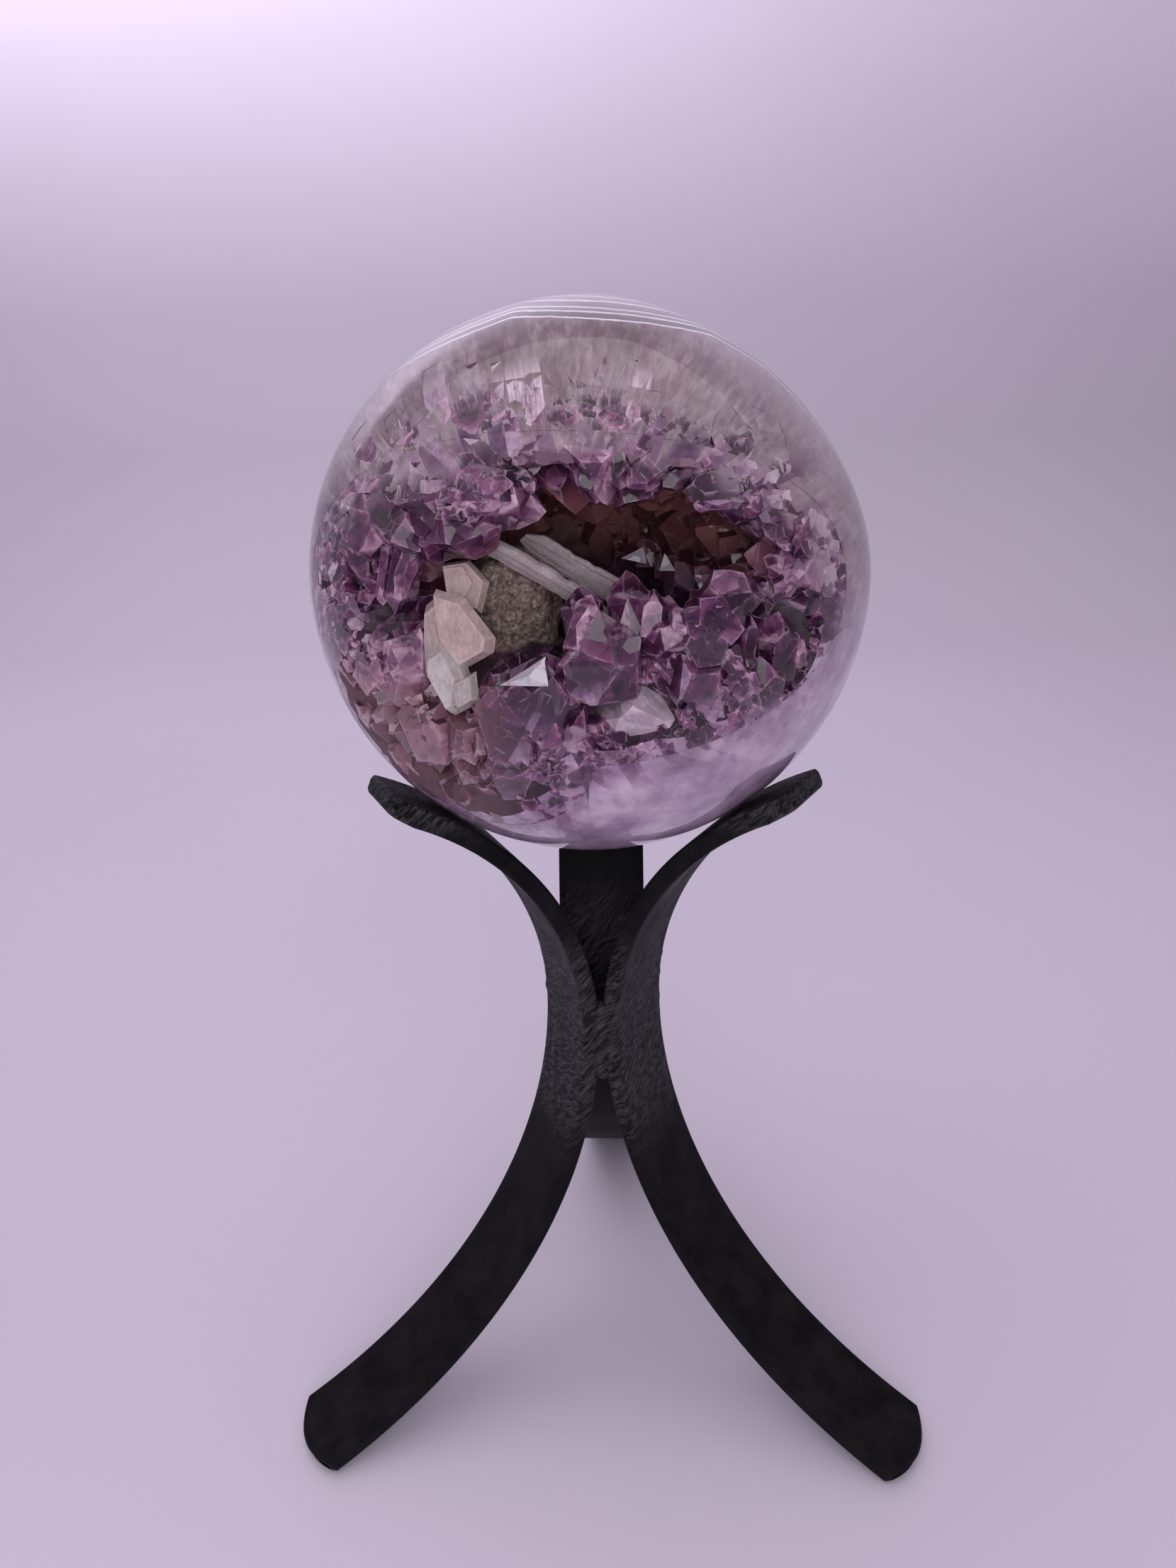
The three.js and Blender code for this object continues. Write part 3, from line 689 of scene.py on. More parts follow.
def polished_stone(stone):
    """Cut and polished face of the stone: agate bands, pale quartz and cloudy amethyst under one gloss."""
    n = material_nodes("polished_stone")
    place = stone_space(n)
    x, y, z = n.axes(place)
    depth = quartz_depth(n, place)
    edge = n.plus(depth, n.centred(n.noise(place, 0.14, 4), 8.0))
    above = n.eased(z, -14, 14)

    # pale quartz above: soft fibres that run outwards from the hollow
    fibre_space = outward_space(n, place, 46.0, 0.15)
    fibres = n.noise(fibre_space, 0.5, 6, 0.65, 0.3)
    tone = n.plus(n.times(fibres, 0.55), n.times(n.noise(place, 0.055, 4, 0.55), 0.45))
    grey = n.ramp(tone, (0.36, (0.11, 0.074, 0.085)), (0.5, (0.2, 0.143, 0.16)), (0.66, (0.38, 0.31, 0.34)))
    # painted glints: small white flecks, as where light catches flakes in the quartz
    painted_glints = n.ranged(n.voronoi(n.vector("ADD", fibre_space, place), 0.5)["Distance"], 0.13, 0.05)
    painted_glints = n.times(painted_glints, n.ranged(n.noise(place, 0.12, 3), 0.5, 0.62))
    grey = n.mix(painted_glints, grey, (0.75, 0.68, 0.74))
    grey = n.mix(n.ranged(x, 10, 55, 0, 0.35), grey, (0.45, 0.36, 0.41))

    # below: cloudy lavender
    clouds = n.noise(place, 0.08, 5, 0.6)
    violet = ((0.2, 0.13, 0.21), (0.36, 0.26, 0.37), (0.56, 0.45, 0.56))
    lavender = n.ramp(clouds, *zip((0.3, 0.5, 0.72), violet))
    quartz = n.mix(above, lavender, grey)

    # pale veils around the amethyst, each cell a column that runs outwards
    cell_space = outward_space(n, place, 46.0, 0.05)
    cells = n.voronoi(cell_space, 0.22)
    pick = n.split(cells["Color"])
    veil = n.ranged(n.noise(cell_space, 1.2, 3, 0.5), 0.35, 0.68)
    faint = n.times(n.ranged(pick[0], 0.4, 0.9, 0, 0.45), n.eased(edge, 22, 4), above)
    quartz = n.mix(faint, quartz, n.mix(veil, (0.2, 0.145, 0.18), (0.6, 0.52, 0.58)))

    # deeper amethyst near the crystals, with a point at the end of each column
    shade = n.plus(n.times(pick[1], 0.4), n.times(n.noise(place, 0.35, 5, 0.65), 0.6))
    deep = ((0.06, 0.022, 0.065), (0.17, 0.08, 0.165), (0.45, 0.31, 0.44))
    purple = n.ramp(shade, *zip((0.25, 0.5, 0.72), deep))
    pointed = n.times(n.minus(cells["Distance"], 0.35), 8.0, above)
    inside = n.plus(edge, n.centred(pick[2], 7.0), pointed)
    colour = n.mix(n.eased(inside, -3.5, 4.0), purple, quartz)

    # crystals cut flush; roots of those above and at the lower right fade into the quartz
    cut = amethyst_colour(n, place, depth, 0.07)
    fading = n.larger(n.eased(z, 28, 34), n.times(n.eased(z, -4, -14), n.eased(x, -25, -5)))
    fade = n.times(n.eased(n.attribute("along"), 0.6, 0.05, 0.05, 1.0), fading)
    cut = n.mix(n.larger(fade, 0.1), cut, colour)
    colour = n.mix(n.ranged(n.attribute("source"), 0.2, 0.8), colour, cut)
    agate, layer = agate_colour(n, place, y, clouds)
    colour = n.mix(n.ranged(layer, -0.15, 0.05), colour, agate)

    # what lies under the gloss leans this way and that
    lean = n.vector("ADD", n.leaning(cells), n.leaning(n.voronoi(place, 0.45)))
    lean = n.scaled(lean, n.times(n.eased(edge, 14, 1), 0.5))
    return n.finish(
        {
            "Base Color": colour,
            "Roughness": 0.38,
            "IOR": 1.45,
            "Specular IOR Level": 0.1,
            "Normal": n.leant_normal(lean),
            "Coat Weight": 1.0,
            "Coat Roughness": stone.polish,
            "Coat IOR": 1.5,
        }
    )


def crystal_faces(stone):
    """Natural faces of the amethyst, and the rock between its crystals."""
    n = material_nodes("crystal_faces")
    place = stone_space(n)
    colour = amethyst_colour(n, place, quartz_depth(n, place))
    # granular olive rock where the wall of the cavity is bare
    grains = n.noise(place, 1.3, 5, 0.7)
    drab = ((0.08, 0.055, 0.045), (0.2, 0.15, 0.125), (0.42, 0.34, 0.29))
    olive = n.ramp(grains, *zip((0.35, 0.5, 0.68), drab))
    colour = n.mix(n.ranged(beyond(n, place, *BARE_ROCK), 2.2, 1.0), colour, olive)
    flawed = n.leant_normal(n.scaled(n.leaning(n.voronoi(place, 0.3)), 0.3))
    return n.finish(
        {
            "Base Color": colour,
            "Roughness": n.ranged(n.attribute("source"), 0.0, 1.0, 0.55, 0.13),
            "IOR": 1.54,
            "Normal": n.bump(n.noise(place, 1.1, 4, 0.6), 0.1, 0.0003, flawed),
            "Transmission Weight": stone.clearness,
        }
    )


def hidden_rind():
    """Dull lilac of the wall that the crystals grew on, which shows only through them."""
    n = material_nodes("hidden_rind")
    lilac = n.ramp(n.noise(stone_space(n), 0.15, 3), (0.35, (0.25, 0.15, 0.22)), (0.65, (0.5, 0.38, 0.44)))
    return n.finish({"Base Color": lilac, "Roughness": 0.9})


def calcite_faces(name, shades, grain, clearness, blush=None):
    """Calcite from dark to light, with cleavage lines and cloudy patches. A blush, as (direction, distance,
    colour), tints what lies beyond a plane."""
    n = material_nodes(name)
    place = stone_space(n)
    cloud = n.noise(place, 0.22, 6, 0.68)
    line = n.noise(n.vector("MULTIPLY", place, grain), 0.9, 6, 0.72)
    tone = n.plus(n.times(cloud, 0.5), n.times(line, 0.35), n.times(n.attribute("crystal"), 0.15))
    colour = n.ramp(tone, *zip((0.36, 0.5, 0.64), shades))
    if blush:
        direction, distance, tint = blush
        side = n.plus(past_plane(n, place, direction, distance), n.centred(cloud, 9.0))
        colour = n.mix(n.eased(side, -1.5, 2.0), colour, n.mix(0.85, colour, tint, "MULTIPLY"))
    vein = n.voronoi(n.vector("MULTIPLY", place, (1.0, 0.5, 0.45)), 0.35, "DISTANCE_TO_EDGE")["Distance"]
    veins = n.times(n.ranged(vein, 0.035, 0.01), n.ranged(n.noise(place, 0.2, 2), 0.45, 0.6), 0.3)
    colour = n.mix(veins, colour, (0.25, 0.18, 0.18))
    # painted highlight: pale near the edges, as if they caught the light
    colour = n.mix(n.times(n.ranged(n.attribute("inset"), 0.35, 0.05), 0.3), colour, (0.85, 0.76, 0.74))
    speck = n.voronoi(place, 0.7)["Distance"]
    specks = n.times(n.ranged(speck, 0.12, 0.06), n.ranged(n.noise(place, 0.15, 2), 0.5, 0.6), 0.6)
    height = n.plus(line, n.times(n.noise(place, 0.5, 5, 0.65), 1.5))
    return n.finish(
        {
            "Base Color": n.mix(specks, colour, (0.12, 0.09, 0.09)),
            "Roughness": 0.24,
            "IOR": 1.6,
            "Normal": n.bump(height, 0.5, 0.0007),
            "Transmission Weight": clearness,
        }
    )


def black_steel():
    """Matt black paint over flat bar, with grinder marks and pits."""
    n = material_nodes("black_steel")
    place = n.scaled(n.object_space(), 1 / MM)
    marks = n.attribute("ground")
    turned = n.add("ShaderNodeVectorRotate", {"Vector": place, "Axis": (0, 1, 0), "Angle": 0.75}).outputs[0]
    strokes = n.noise(n.vector("MULTIPLY", turned, (0.2, 0.4, 1.3)), 1.1, 4, 0.7, 0.3)
    grain = n.noise(place, 1.4, 6, 0.65)
    patches = n.noise(place, 0.11, 4, 0.6)
    pits = n.eased(n.voronoi(place, 0.55)["Distance"], 0.05, 0.2)
    base = n.ramp(patches, (0.35, (0.004, 0.004, 0.005)), (0.65, (0.011, 0.011, 0.012)))
    height = n.plus(n.times(grain, 0.35), n.times(pits, 0.3), n.times(strokes, marks, 0.4))
    return n.finish(
        {
            "Base Color": n.mix(n.times(marks, n.ranged(strokes, 0.42, 0.66)), base, (0.07, 0.066, 0.075)),
            "Roughness": n.ranged(patches, 0.3, 0.7, 0.42, 0.62),
            "IOR": 1.33,
            "Specular IOR Level": 0.12,
            "Normal": n.bump(height, 0.4, 0.0006),
        }
    )


def paper(colour):
    """Smooth pale paper for the floor and the backdrop, with painted light: darker low on the backdrop and
    lighter high up.
    """
    n = material_nodes("paper")
    place = n.object_space()
    tone = n.ramp(n.noise(place, 3.0, 3, 0.5), (0.3, [c * 0.97 for c in colour]), (0.7, colour))
    # painted light and shade by height: the backdrop a little darker low down and lighter high up
    low = (0.93, 0.93, 0.93)
    shade = n.ramp(n.axes(place)["Z"], (0.0, (1, 1, 1)), (0.04, low), (0.22, low), (0.62, (1.5, 1.5, 1.48)))
    return n.finish(
        {
            "Base Color": n.mix(1.0, tone, shade, "MULTIPLY"),
            "Roughness": 0.75,
            "Normal": n.bump(n.noise(place, 900.0, 2), 0.05, 0.0003),
        }
    )


def soft_light(studio):
    """World of soft light without a picture, lighter above and at the back."""
    world = bpy.data.worlds.new("studio")
    n = NodeMaker(world)
    parts = n.axes(n.add("ShaderNodeTexCoord").outputs["Generated"])
    height = n.math("MULTIPLY_ADD", parts["Y"], 0.45, parts["Z"])
    sky = n.ramp(height, (0, studio.low_light), (1, studio.high_light))
    light = n.add("ShaderNodeBackground", {"Color": sky, "Strength": studio.brightness})
    n.add("ShaderNodeOutputWorld", {"Surface": light.outputs[0]})
    return world


# Stone


def vug_depth(point):
    """About how many millimetres a place lies outside the space of the amethyst; negative inside."""
    found = []
    for centre, semi in VUG:
        length = Vector((p - c) / s for p, c, s in zip(point, centre, semi)).length
        found.append((length - 1) * sum(semi) / 3)
    return min(found)


def bed_depth(direction):
    """How far the bed that the crystals stand on lies under the polished surface."""
    surface = direction * stone_reach(direction)
    inside = -vug_depth(surface) - BED_START
    flush = smoothstep(-surface.z, 14, 34) * smoothstep(surface.x, -40, 0)
    flush = max(flush, smoothstep(surface.z, 33, 37))
    roof = smoothstep(surface.z, 12, 24)
    sunk = smoothstep(inside, 0, BED_SLOPE * (1 - 0.5 * roof))
    return BED_DEPTH * (1 + 0.4 * roof) * sunk * (1 - flush)


def stone_shell(name, materials, extra=0.0):
    """Closed mesh of the whole polished stone, larger by the extra."""
    return new_mesh(name, shaped_sphere(7, lambda out: out * (stone_reach(out) + extra)), materials)


def bed_shell(name, materials):
    """The stone's outside with the bed of the crystals sunk in. Only what isn't sunk is polished."""

    def sunk(direction):
        depth = bed_depth(direction) * (1 + 0.5 * noise.fractal(direction * 22, 0.7, 2.0, 3))
        return direction * (stone_reach(direction) - max(depth, 2 * POLISH_DEPTH))

    bm = shaped_sphere(6, sunk)
    for face in bm.faces:
        face.material_index = int(bed_depth(face.calc_center_median().normalized()) > BED_SUNK)
    return rock_values(new_mesh(name, bm, materials))


def ellipsoid(name, space, subdivisions, roughness, materials):
    """Closed ellipsoid whose surface noise pushes in and out by up to the roughness."""
    centre, semi = space

    def place(direction):
        point = centre + Vector(d * s for d, s in zip(direction, semi))
        push = noise.fractal(point * 0.12, 0.6, 2.0, 4) if roughness else 0.0
        return point + direction * push * roughness

    return rock_values(new_mesh(name, shaped_sphere(subdivisions, place), materials))


def is_inside(point, space, scale=1.0):
    centre, semi = space
    return Vector((p - c) / (s * scale) for p, c, s in zip(point, centre, semi)).length < 1


def clipped(faces, normal, distance):
    """Faces of a convex solid, as lists of corners, with all beyond a plane cut away."""
    kept = []
    rim = []
    for face in faces:
        heights = [corner.dot(normal) - distance for corner in face]
        if max(heights) <= 0:
            kept.append(face)
            continue
        corners = []
        for i, corner in enumerate(face):
            j = (i + 1) % len(face)
            if heights[i] <= 0:
                corners.append(corner)
            if heights[i] * heights[j] < 0:
                cut = corner.lerp(face[j], heights[i] / (heights[i] - heights[j]))
                corners.append(cut)
                rim.append(cut)
        if len(corners) >= 3:
            kept.append(corners)
    if len(rim) >= 3:
        kept.append(rim)
    return kept


def is_ground(middle, normal):
    """Whether a crystal's face lies in the polished surface."""
    out = middle.normalized()
    return normal.dot(out) > POLISH_FACING and middle.length > stone_reach(out) - POLISH_RANGE


def own_shade(number):
    """Share from 0 to 1 that looks random but is always the same for a number."""
    return abs(math.modf(math.sin(number * 12.9898) * 4375.85)[0])


def convex_mesh(name, faces, tag, stretch, materials, facets):
    """Mesh of a convex solid. Each face keeps the solid's tag, its number in facets and a painted shade of
    its own, which makes it lighter or darker as if by the light and which all its ground faces share."""
    bm = bmesh.new()
    seen = set()
    for face in faces:
        for corner in face:
            key = tuple(round(c, 2) for c in corner)
            if key not in seen:
                seen.add(key)
                bm.verts.new(corner)
    hull = bmesh.ops.convex_hull(bm, input=bm.verts[:])
    spare = {v for v in hull["geom_interior"] + hull["geom_unused"] if isinstance(v, bmesh.types.BMVert)}
    bmesh.ops.delete(bm, geom=list(spare), context="VERTS")
    bmesh.ops.dissolve_limit(bm, angle_limit=math.radians(0.5), verts=bm.verts[:], edges=bm.edges[:])
    bm.normal_update()
    layers = {layer: bm.faces.layers.float.new(layer) for layer in ("crystal", "facet", "source")}
    ground = {face for face in bm.faces if is_ground(face.calc_center_median(), face.normal)}
    first = len(facets) + 1
    for face in bm.faces:
        sides = []
        for loop in face.loops:
            if face in ground and ground.issuperset(loop.edge.link_faces):
                continue
            corner = loop.vert.co.copy()
            run = loop.link_loop_next.vert.co - corner
            sides.append((corner, face.normal.cross(run).normalized()))
        facets.append((sides, stretch))
        face[layers["crystal"]] = tag
        # painted shade: a value drawn at random for each face, which makes it lighter or darker as if by the
        # light
        face[layers["facet"]] = own_shade(first if face in ground else len(facets))
        face[layers["source"]] = len(facets)
    bmesh.ops.poke(bm, faces=bm.faces[:])
    return new_mesh(name, bm, materials)


def measure_facets(mesh, facets):
    """Keeps on each face's corners the way in from the facet's edges, and the place along its crystal."""
    sources = [round(value.value) for value in mesh.attributes["source"].data]
    insets = [FAR_INSIDE] * len(mesh.loops)
    places = [NEAR_TIP] * len(mesh.loops)
    for polygon, source in zip(mesh.polygons, sources):
        if not source:
            continue
        sides, (tip, axis, length) = facets[source - 1]
        for loop in polygon.loop_indices:
            point = mesh.vertices[mesh.loops[loop].vertex_index].co
            ways_in = [(point - corner).dot(inward) for corner, inward in sides]
            insets[loop] = max(0.0, min(ways_in, default=FAR_INSIDE))
            places[loop] = 1 + (point - tip).dot(axis) / length
    keep_values(mesh, "CORNER", inset=insets, along=places)


def turned_to(axis, spin):
    """Rotation that takes +Z to an axis."""
    return Vector((0, 0, 1)).rotation_difference(axis).to_matrix() @ Matrix.Rotation(spin, 3, "Z")


def crystal_ends(radius, length, rnd):
    """Faces about the tip at the origin, pointing up: six sides, then a pyramid of three large faces
    and three smaller ones cut out of them."""
    turns = [math.pi / 3 * k for k in range(6)]
    sides = [radius * rnd.uniform(0.78, 1.15) for _ in turns]
    corners = []
    for k in range(6):
        a, b = turns[k], turns[(k + 1) % 6]
        across = Matrix(((math.cos(a), math.sin(a)), (math.cos(b), math.sin(b))))
        corners.append(across.inverted() @ Vector((sides[k], sides[(k + 1) % 6])))
    top = [Vector((x, y, radius)) for x, y in corners]
    bottom = [Vector((x, y, -length)) for x, y in corners]
    faces = [top, bottom]
    for k in range(6):
        faces.append([bottom[k], bottom[(k + 1) % 6], top[(k + 1) % 6], top[k]])
    for k, angle in enumerate(turns):
        level = math.cos(PYRAMID_ANGLE)
        normal = Vector((math.cos(angle) * level, math.sin(angle) * level, math.sin(PYRAMID_ANGLE)))
        back = rnd.uniform(0.06, 0.34) if k % 2 else rnd.uniform(-0.04, 0.04)
        faces = clipped(faces, normal, radius * back)
    return faces


def mirror_plane():
    """Plane of the bright face that lies in the polished surface, which nothing may cover."""
    a, b, c = (Vector(corner) for corner in BRIGHT_FACES[0][0])
    normal = (b - a).cross(c - a).normalized()
    normal *= math.copysign(1, normal.dot(a))
    return normal, normal.dot(a) - 0.05


def crystal_meshes(tip, axis, radius, length, tag, rnd, materials, facets):
    """Six-sided crystal with a pointed end: with what stands out of the stone ground off flat, and whole,
    as the room that it takes."""
    turn = turned_to(axis, rnd.uniform(0, math.pi))
    whole = [[tip + turn @ corner for corner in face] for face in crystal_ends(radius, length, rnd)]
    faces = clipped(whole, *mirror_plane())
    steps = math.ceil(length / POLISH_STEP)
    across = tip.cross(axis).normalized() * radius
    depth = POLISH_DEPTH - (PALE_RISE if tag > PALE_TAG else 0)
    for k in range(steps + 1):
        for side in POLISH_SIDES if radius > THICK_CRYSTAL else (0,):
            out = (tip - axis * length * k / steps + across * side).normalized()
            faces = clipped(faces, out, stone_reach(out) - depth)
    room = rock_values(convex_mesh("room", whole, tag, (tip, axis, length), materials, []))
    return convex_mesh("crystal", faces, tag, (tip, axis, length), materials, facets), room


def in_amethyst(point, margin=1.0):
    return any(is_inside(point, vug, margin) for vug in VUG)


class Druse:
    """All the crystals of the stone, none rooted in another's place."""

    def __init__(self, rnd, tries, materials):
        self.rnd = rnd
        self.materials = materials
        self.meshes = []
        self.facets = []
        self.taken = []
        self.rooms = []
        self.kept_whole = []
        for tip, points, radius, tag, length in COLUMNS:
            self.add(Vector(tip), Vector(points).normalized(), radius, length, tag, True)
        for tip, points, radius, *tag in MAIN_CRYSTALS:
            tip, axis = Vector(tip), Vector(points).normalized()
            column = tip.z > COLUMN_ABOVE and tip.y < COLUMN_BEFORE
            self.grow(tip, axis, radius, MAIN_CRYSTAL_LENGTH, *tag, column=column)
            self.kept_whole.append((tip, axis, radius))
            self.taken.append((tip - axis * radius * 2.4, radius))
        for corners, depth, tag in BRIGHT_FACES:
            corners = [Vector(corner) for corner in corners]
            middle = sum(corners, Vector()) / 3
            corners.append(middle - middle.normalized() * depth)
            stretch = (middle, middle.normalized(), 50.0)
            self.meshes.append(convex_mesh("chip", [corners], tag, stretch, materials, self.facets))
        for hollow in HOLLOWS:
            self.line(hollow, tries)
        self.fill_rim(tries)
        self.fill_rim(tries, SMALL_SCALE)

    def grow(self, tip, axis, radius, length, tag=None, column=False):
        """One crystal, with smaller ones that grew beside it in nearly the same direction."""
        rnd = self.rnd
        self.taken.append((tip - axis * radius * 1.2, radius))
        if not self.add(tip, axis, radius, length, tag, column) or radius < GROUP_RADIUS:
            return
        for _ in range(rnd.randint(0, 2)):
            small = radius * rnd.uniform(0.35, 0.65)
            beside = scatter(rnd, 1).cross(axis).normalized()
            place = tip + beside * radius * rnd.uniform(0.6, 0.95) - axis * radius * rnd.uniform(0.4, 1.1)
            lean = (axis + scatter(rnd, 0.14)).normalized()
            self.add(place, lean, small, length * 0.7)

    def add(self, tip, axis, radius, length, tag=None, column=False):
        """Keeps a crystal, shortened where it would come out into a hollow on its far side. A column also
        takes room in the quartz."""
        entered = False
        for k in range(1, math.ceil(length)):
            place = tip - axis * k
            hollow = any(is_inside(place, h[:2], HOLLOW_SCALE) for h in HOLLOWS)
            if entered and hollow:
                length = k - radius
                break
            entered = entered or not hollow
        if length < radius * LEAST_LENGTH or any(is_inside(tip, space) for space in KEPT_CLEAR):
            return False
        # nothing may cover what the photograph shows of a main crystal
        for end, main_axis, size in self.kept_whole:
            aside = tip - end
            aside -= end.normalized() * aside.dot(end.normalized())
            down = -aside.dot(main_axis)
            if -0.3 * size < down < size * 2 and (aside + main_axis * down).length < size * 0.62:
                return False
        tag = self.rnd.random() if tag is None else tag
        mesh, room = crystal_meshes(tip, axis, radius, length, tag, self.rnd, self.materials, self.facets)
        self.meshes.append(mesh)
        if column:
            self.rooms.append(room)
        return True

    def is_crowded(self, place, radius, closeness):
        return any((place - at).length < closeness * (radius + size) for at, size in self.taken)

    def line(self, hollow, tries):
        """Crystals on the wall of one hollow, leaving out its mouth and where it opens into another."""
        rnd = self.rnd
        centre, semi, mean, rises = hollow
        others = [other for other in HOLLOWS if other is not hollow]
        for _ in range(tries):
            out = scatter(rnd, 1).normalized()
            wall = centre + Vector(o * s for o, s in zip(out, semi))
            radius = mean * min(1.35, math.exp(rnd.gauss(0, 0.3)))
            if any(is_inside(wall, other[:2], 0.98) for other in others) or not in_amethyst(wall):
                continue
            if is_inside(wall, BARE_WALL) or wall.length > stone_reach(wall.normalized()) - 3:
                continue
            if self.is_crowded(wall, radius, 0.45):
                continue
            inward = -Vector(o / s for o, s in zip(out, semi)).normalized()
            inward = inward * 0.7 + (VUG_HEART - wall).normalized() * 0.6
            axis = (inward + scatter(rnd, 0.22)).normalized()
            rise = radius * rnd.uniform(*rises)
            self.taken.append((wall, radius))
            self.grow(wall + axis * rise, axis, radius, rise + CRYSTAL_ROOT)

    def fill_rim(self, tries, scale=1.0):
        """Crystals around the hollows, whose points reach the polished surface. They are larger at the roof
        and in the lower left corner, where few small ones fill the gaps."""
        rnd = self.rnd
        for _ in range(tries * 5):
            out = Vector((rnd.gauss(0, 1), -abs(rnd.gauss(0, 1)), rnd.gauss(0, 1))).normalized()
            surface = out * stone_reach(out)
            if not in_amethyst(surface, 1.05) or any(is_inside(surface, h[:2], 0.95) for h in HOLLOWS):
                continue
            roof = smoothstep(surface.z, 14, 24)
            corner = smoothstep(-surface.z, 4, 16) * smoothstep(-surface.x, 4, 20)
            if scale < 1 and corner > 0.5 and rnd.random() < 0.93:
                continue
            radius = scale * (3.7 + 1.4 * roof + 4 * corner) * min(1.4, math.exp(rnd.gauss(0, 0.25)))
            closeness = (0.4 - 0.1 * roof) * scale**0.4
            if self.is_crowded(surface - out * 3, radius, closeness):
                continue
            toward = VUG_HEART - surface
            inward = (toward - out * toward.dot(out)).normalized()
            axis = inward * (0.85 + 0.25 * roof - 0.35 * corner) + out * (0.5 - 0.3 * roof + 0.4 * corner)
            axis = (axis + scatter(rnd, 0.24)).normalized()
            sunk = rnd.uniform(-0.6, 1.4) + roof * radius * 0.8
            tip = out * (surface.length - sunk) + inward * radius * 0.8
            self.taken.append((surface - out * 3, radius))
            pale = surface.x < -44 and scale < 1
            self.grow(tip, axis, radius, radius + CRYSTAL_ROOT, rnd.uniform(0.95, 1.33) if pale else None)


def polish_normal(point):
    """Direction in which the polished surface faces near a point of it."""
    here = point.length - stone_reach(point.normalized())
    slope = []
    for step in Matrix.Scale(0.05, 3):
        moved = point + step
        slope.append(moved.length - stone_reach(moved.normalized()) - here)
    return Vector(slope).normalized()


def polish_shading(mesh):
    """Gives the polished faces, which are in the first slot, the stone's own rounding. Natural faces stay
    flat. A crystal's face that lies in the polished surface counts as polished."""
    sources = mesh.attributes["source"].data if "source" in mesh.attributes else None
    normals = [Vector()] * len(mesh.loops)
    smooth = []
    for polygon in mesh.polygons:
        if sources and sources[polygon.index].value and is_ground(polygon.center, polygon.normal):
            polygon.material_index = 0
        smooth.append(polygon.material_index == 0)
        if smooth[-1]:
            for loop in polygon.loop_indices:
                normals[loop] = polish_normal(mesh.vertices[mesh.loops[loop].vertex_index].co)
    mesh.polygons.foreach_set("use_smooth", smooth)
    mesh.normals_split_custom_set(normals)
    mesh.update()


def sorted_slots(mesh, materials):
    """Puts the mesh's materials in the given order."""
    order = [materials.index(material) for material in mesh.materials]
    indices = [order[polygon.material_index] for polygon in mesh.polygons]
    mesh.materials.clear()
    for material in materials:
        mesh.materials.append(material)
    mesh.polygons.foreach_set("material_index", indices)
    mesh.update()


# Calcite


def slab_faces(outline, low, high, slope):
    """Faces of a convex slab between two heights, whose upper face is drawn in by the slope."""
    middle = sum((Vector(corner) for corner in outline), Vector((0, 0))) / len(outline)
    bottom = [Vector((*corner, low)) for corner in outline]
    top = [Vector((*middle.lerp(Vector(corner), 1 - slope), high)) for corner in outline]
    return [bottom, top]


def plate_mesh(name, plate, material):
    """Broken calcite plate: cleaved slabs, one over another, that face a direction."""
    centre, faces, slabs = plate
    z = Vector(faces).normalized()
    x = Vector((0, 0, 1)).cross(z).normalized()
    turn = Matrix((x, z.cross(x), z)).transposed()
    middle = Vector(centre)
    meshes = []
    facets = []
    for k, (outline, low, high, slope) in enumerate(slabs):
        slab = slab_faces(outline, low, high, slope)
        placed = [[middle + turn @ corner for corner in face] for face in slab]
        tag = (k * SLAB_TAG_STEP + 0.15) % 1
        meshes.append(convex_mesh(name, placed, tag, (middle, z, 1.0), (material,), facets))
    mesh = solid_from_steps(name, [meshes[0], ("UNION", meshes[1:])])
    measure_facets(mesh, facets)
    return mesh


def blade_mesh(name, blade, material):
    """Long calcite blade, grooved along its length, slightly bowed, with broken ends."""
    start, end, width, thickness, roll, bow, seed = blade
    start, end = Vector(start), Vector(end)
    axis = (end - start).normalized()
    turn = turned_to(axis, math.radians(roll))
    stations = 56
    around = 30
    bm = bmesh.new()
    loops = []
    for i in range(stations + 1):
        t = i / stations
        end_taper = min(1.0, 0.35 + t * 5, 0.3 + (1 - t) * 6)
        loop = []
        for k in range(around):
            angle = 2 * math.pi * k / around
            x = math.copysign(abs(math.cos(angle)) ** 0.7, math.cos(angle)) * width / 2
            y = math.copysign(abs(math.sin(angle)) ** 0.55, math.sin(angle)) * thickness / 2
            groove = noise.noise(Vector((x * 1.5 + seed, y * 2, t * 1.5))) * 0.3
            chip = max(0.0, noise.noise(Vector((seed, t * 11, x * 0.25)))) * abs(x) / width * 0.8
            x *= end_taper * (1 - chip)
            y *= (1 + groove) * (0.7 + 0.3 * end_taper)
            slant = (x / width) * 2.2 * (1 if t > 0.5 else -1) * (2 * t - 1) ** 4
            spine = start.lerp(end, t) + Vector((0, 0, bow * 4 * t * (1 - t))) + axis * slant
            loop.append(bm.verts.new(spine + turn @ Vector((x, y, 0))))
        loops.append(loop)
    skin(bm, loops)
    return new_mesh(name, bm, (material,))


# Stand


def leg_slope(s):
    change = 1 / LEG_RADIUS_AT_FOOT - 1 / LEG_RADIUS_AT_WAIST
    return s / LEG_RADIUS_AT_WAIST + change * s * s / (2 * LEG_LENGTH)


def leg_point(s):
    steps = 48
    out = sum(math.sin(leg_slope((i + 0.5) / steps * s)) for i in range(steps)) * s / steps
    drop = sum(math.cos(leg_slope((i + 0.5) / steps * s)) for i in range(steps)) * s / steps
    return out, drop


WAIST_HEIGHT = leg_point(LEG_LENGTH)[1] - FOOT_GROUND_OFF


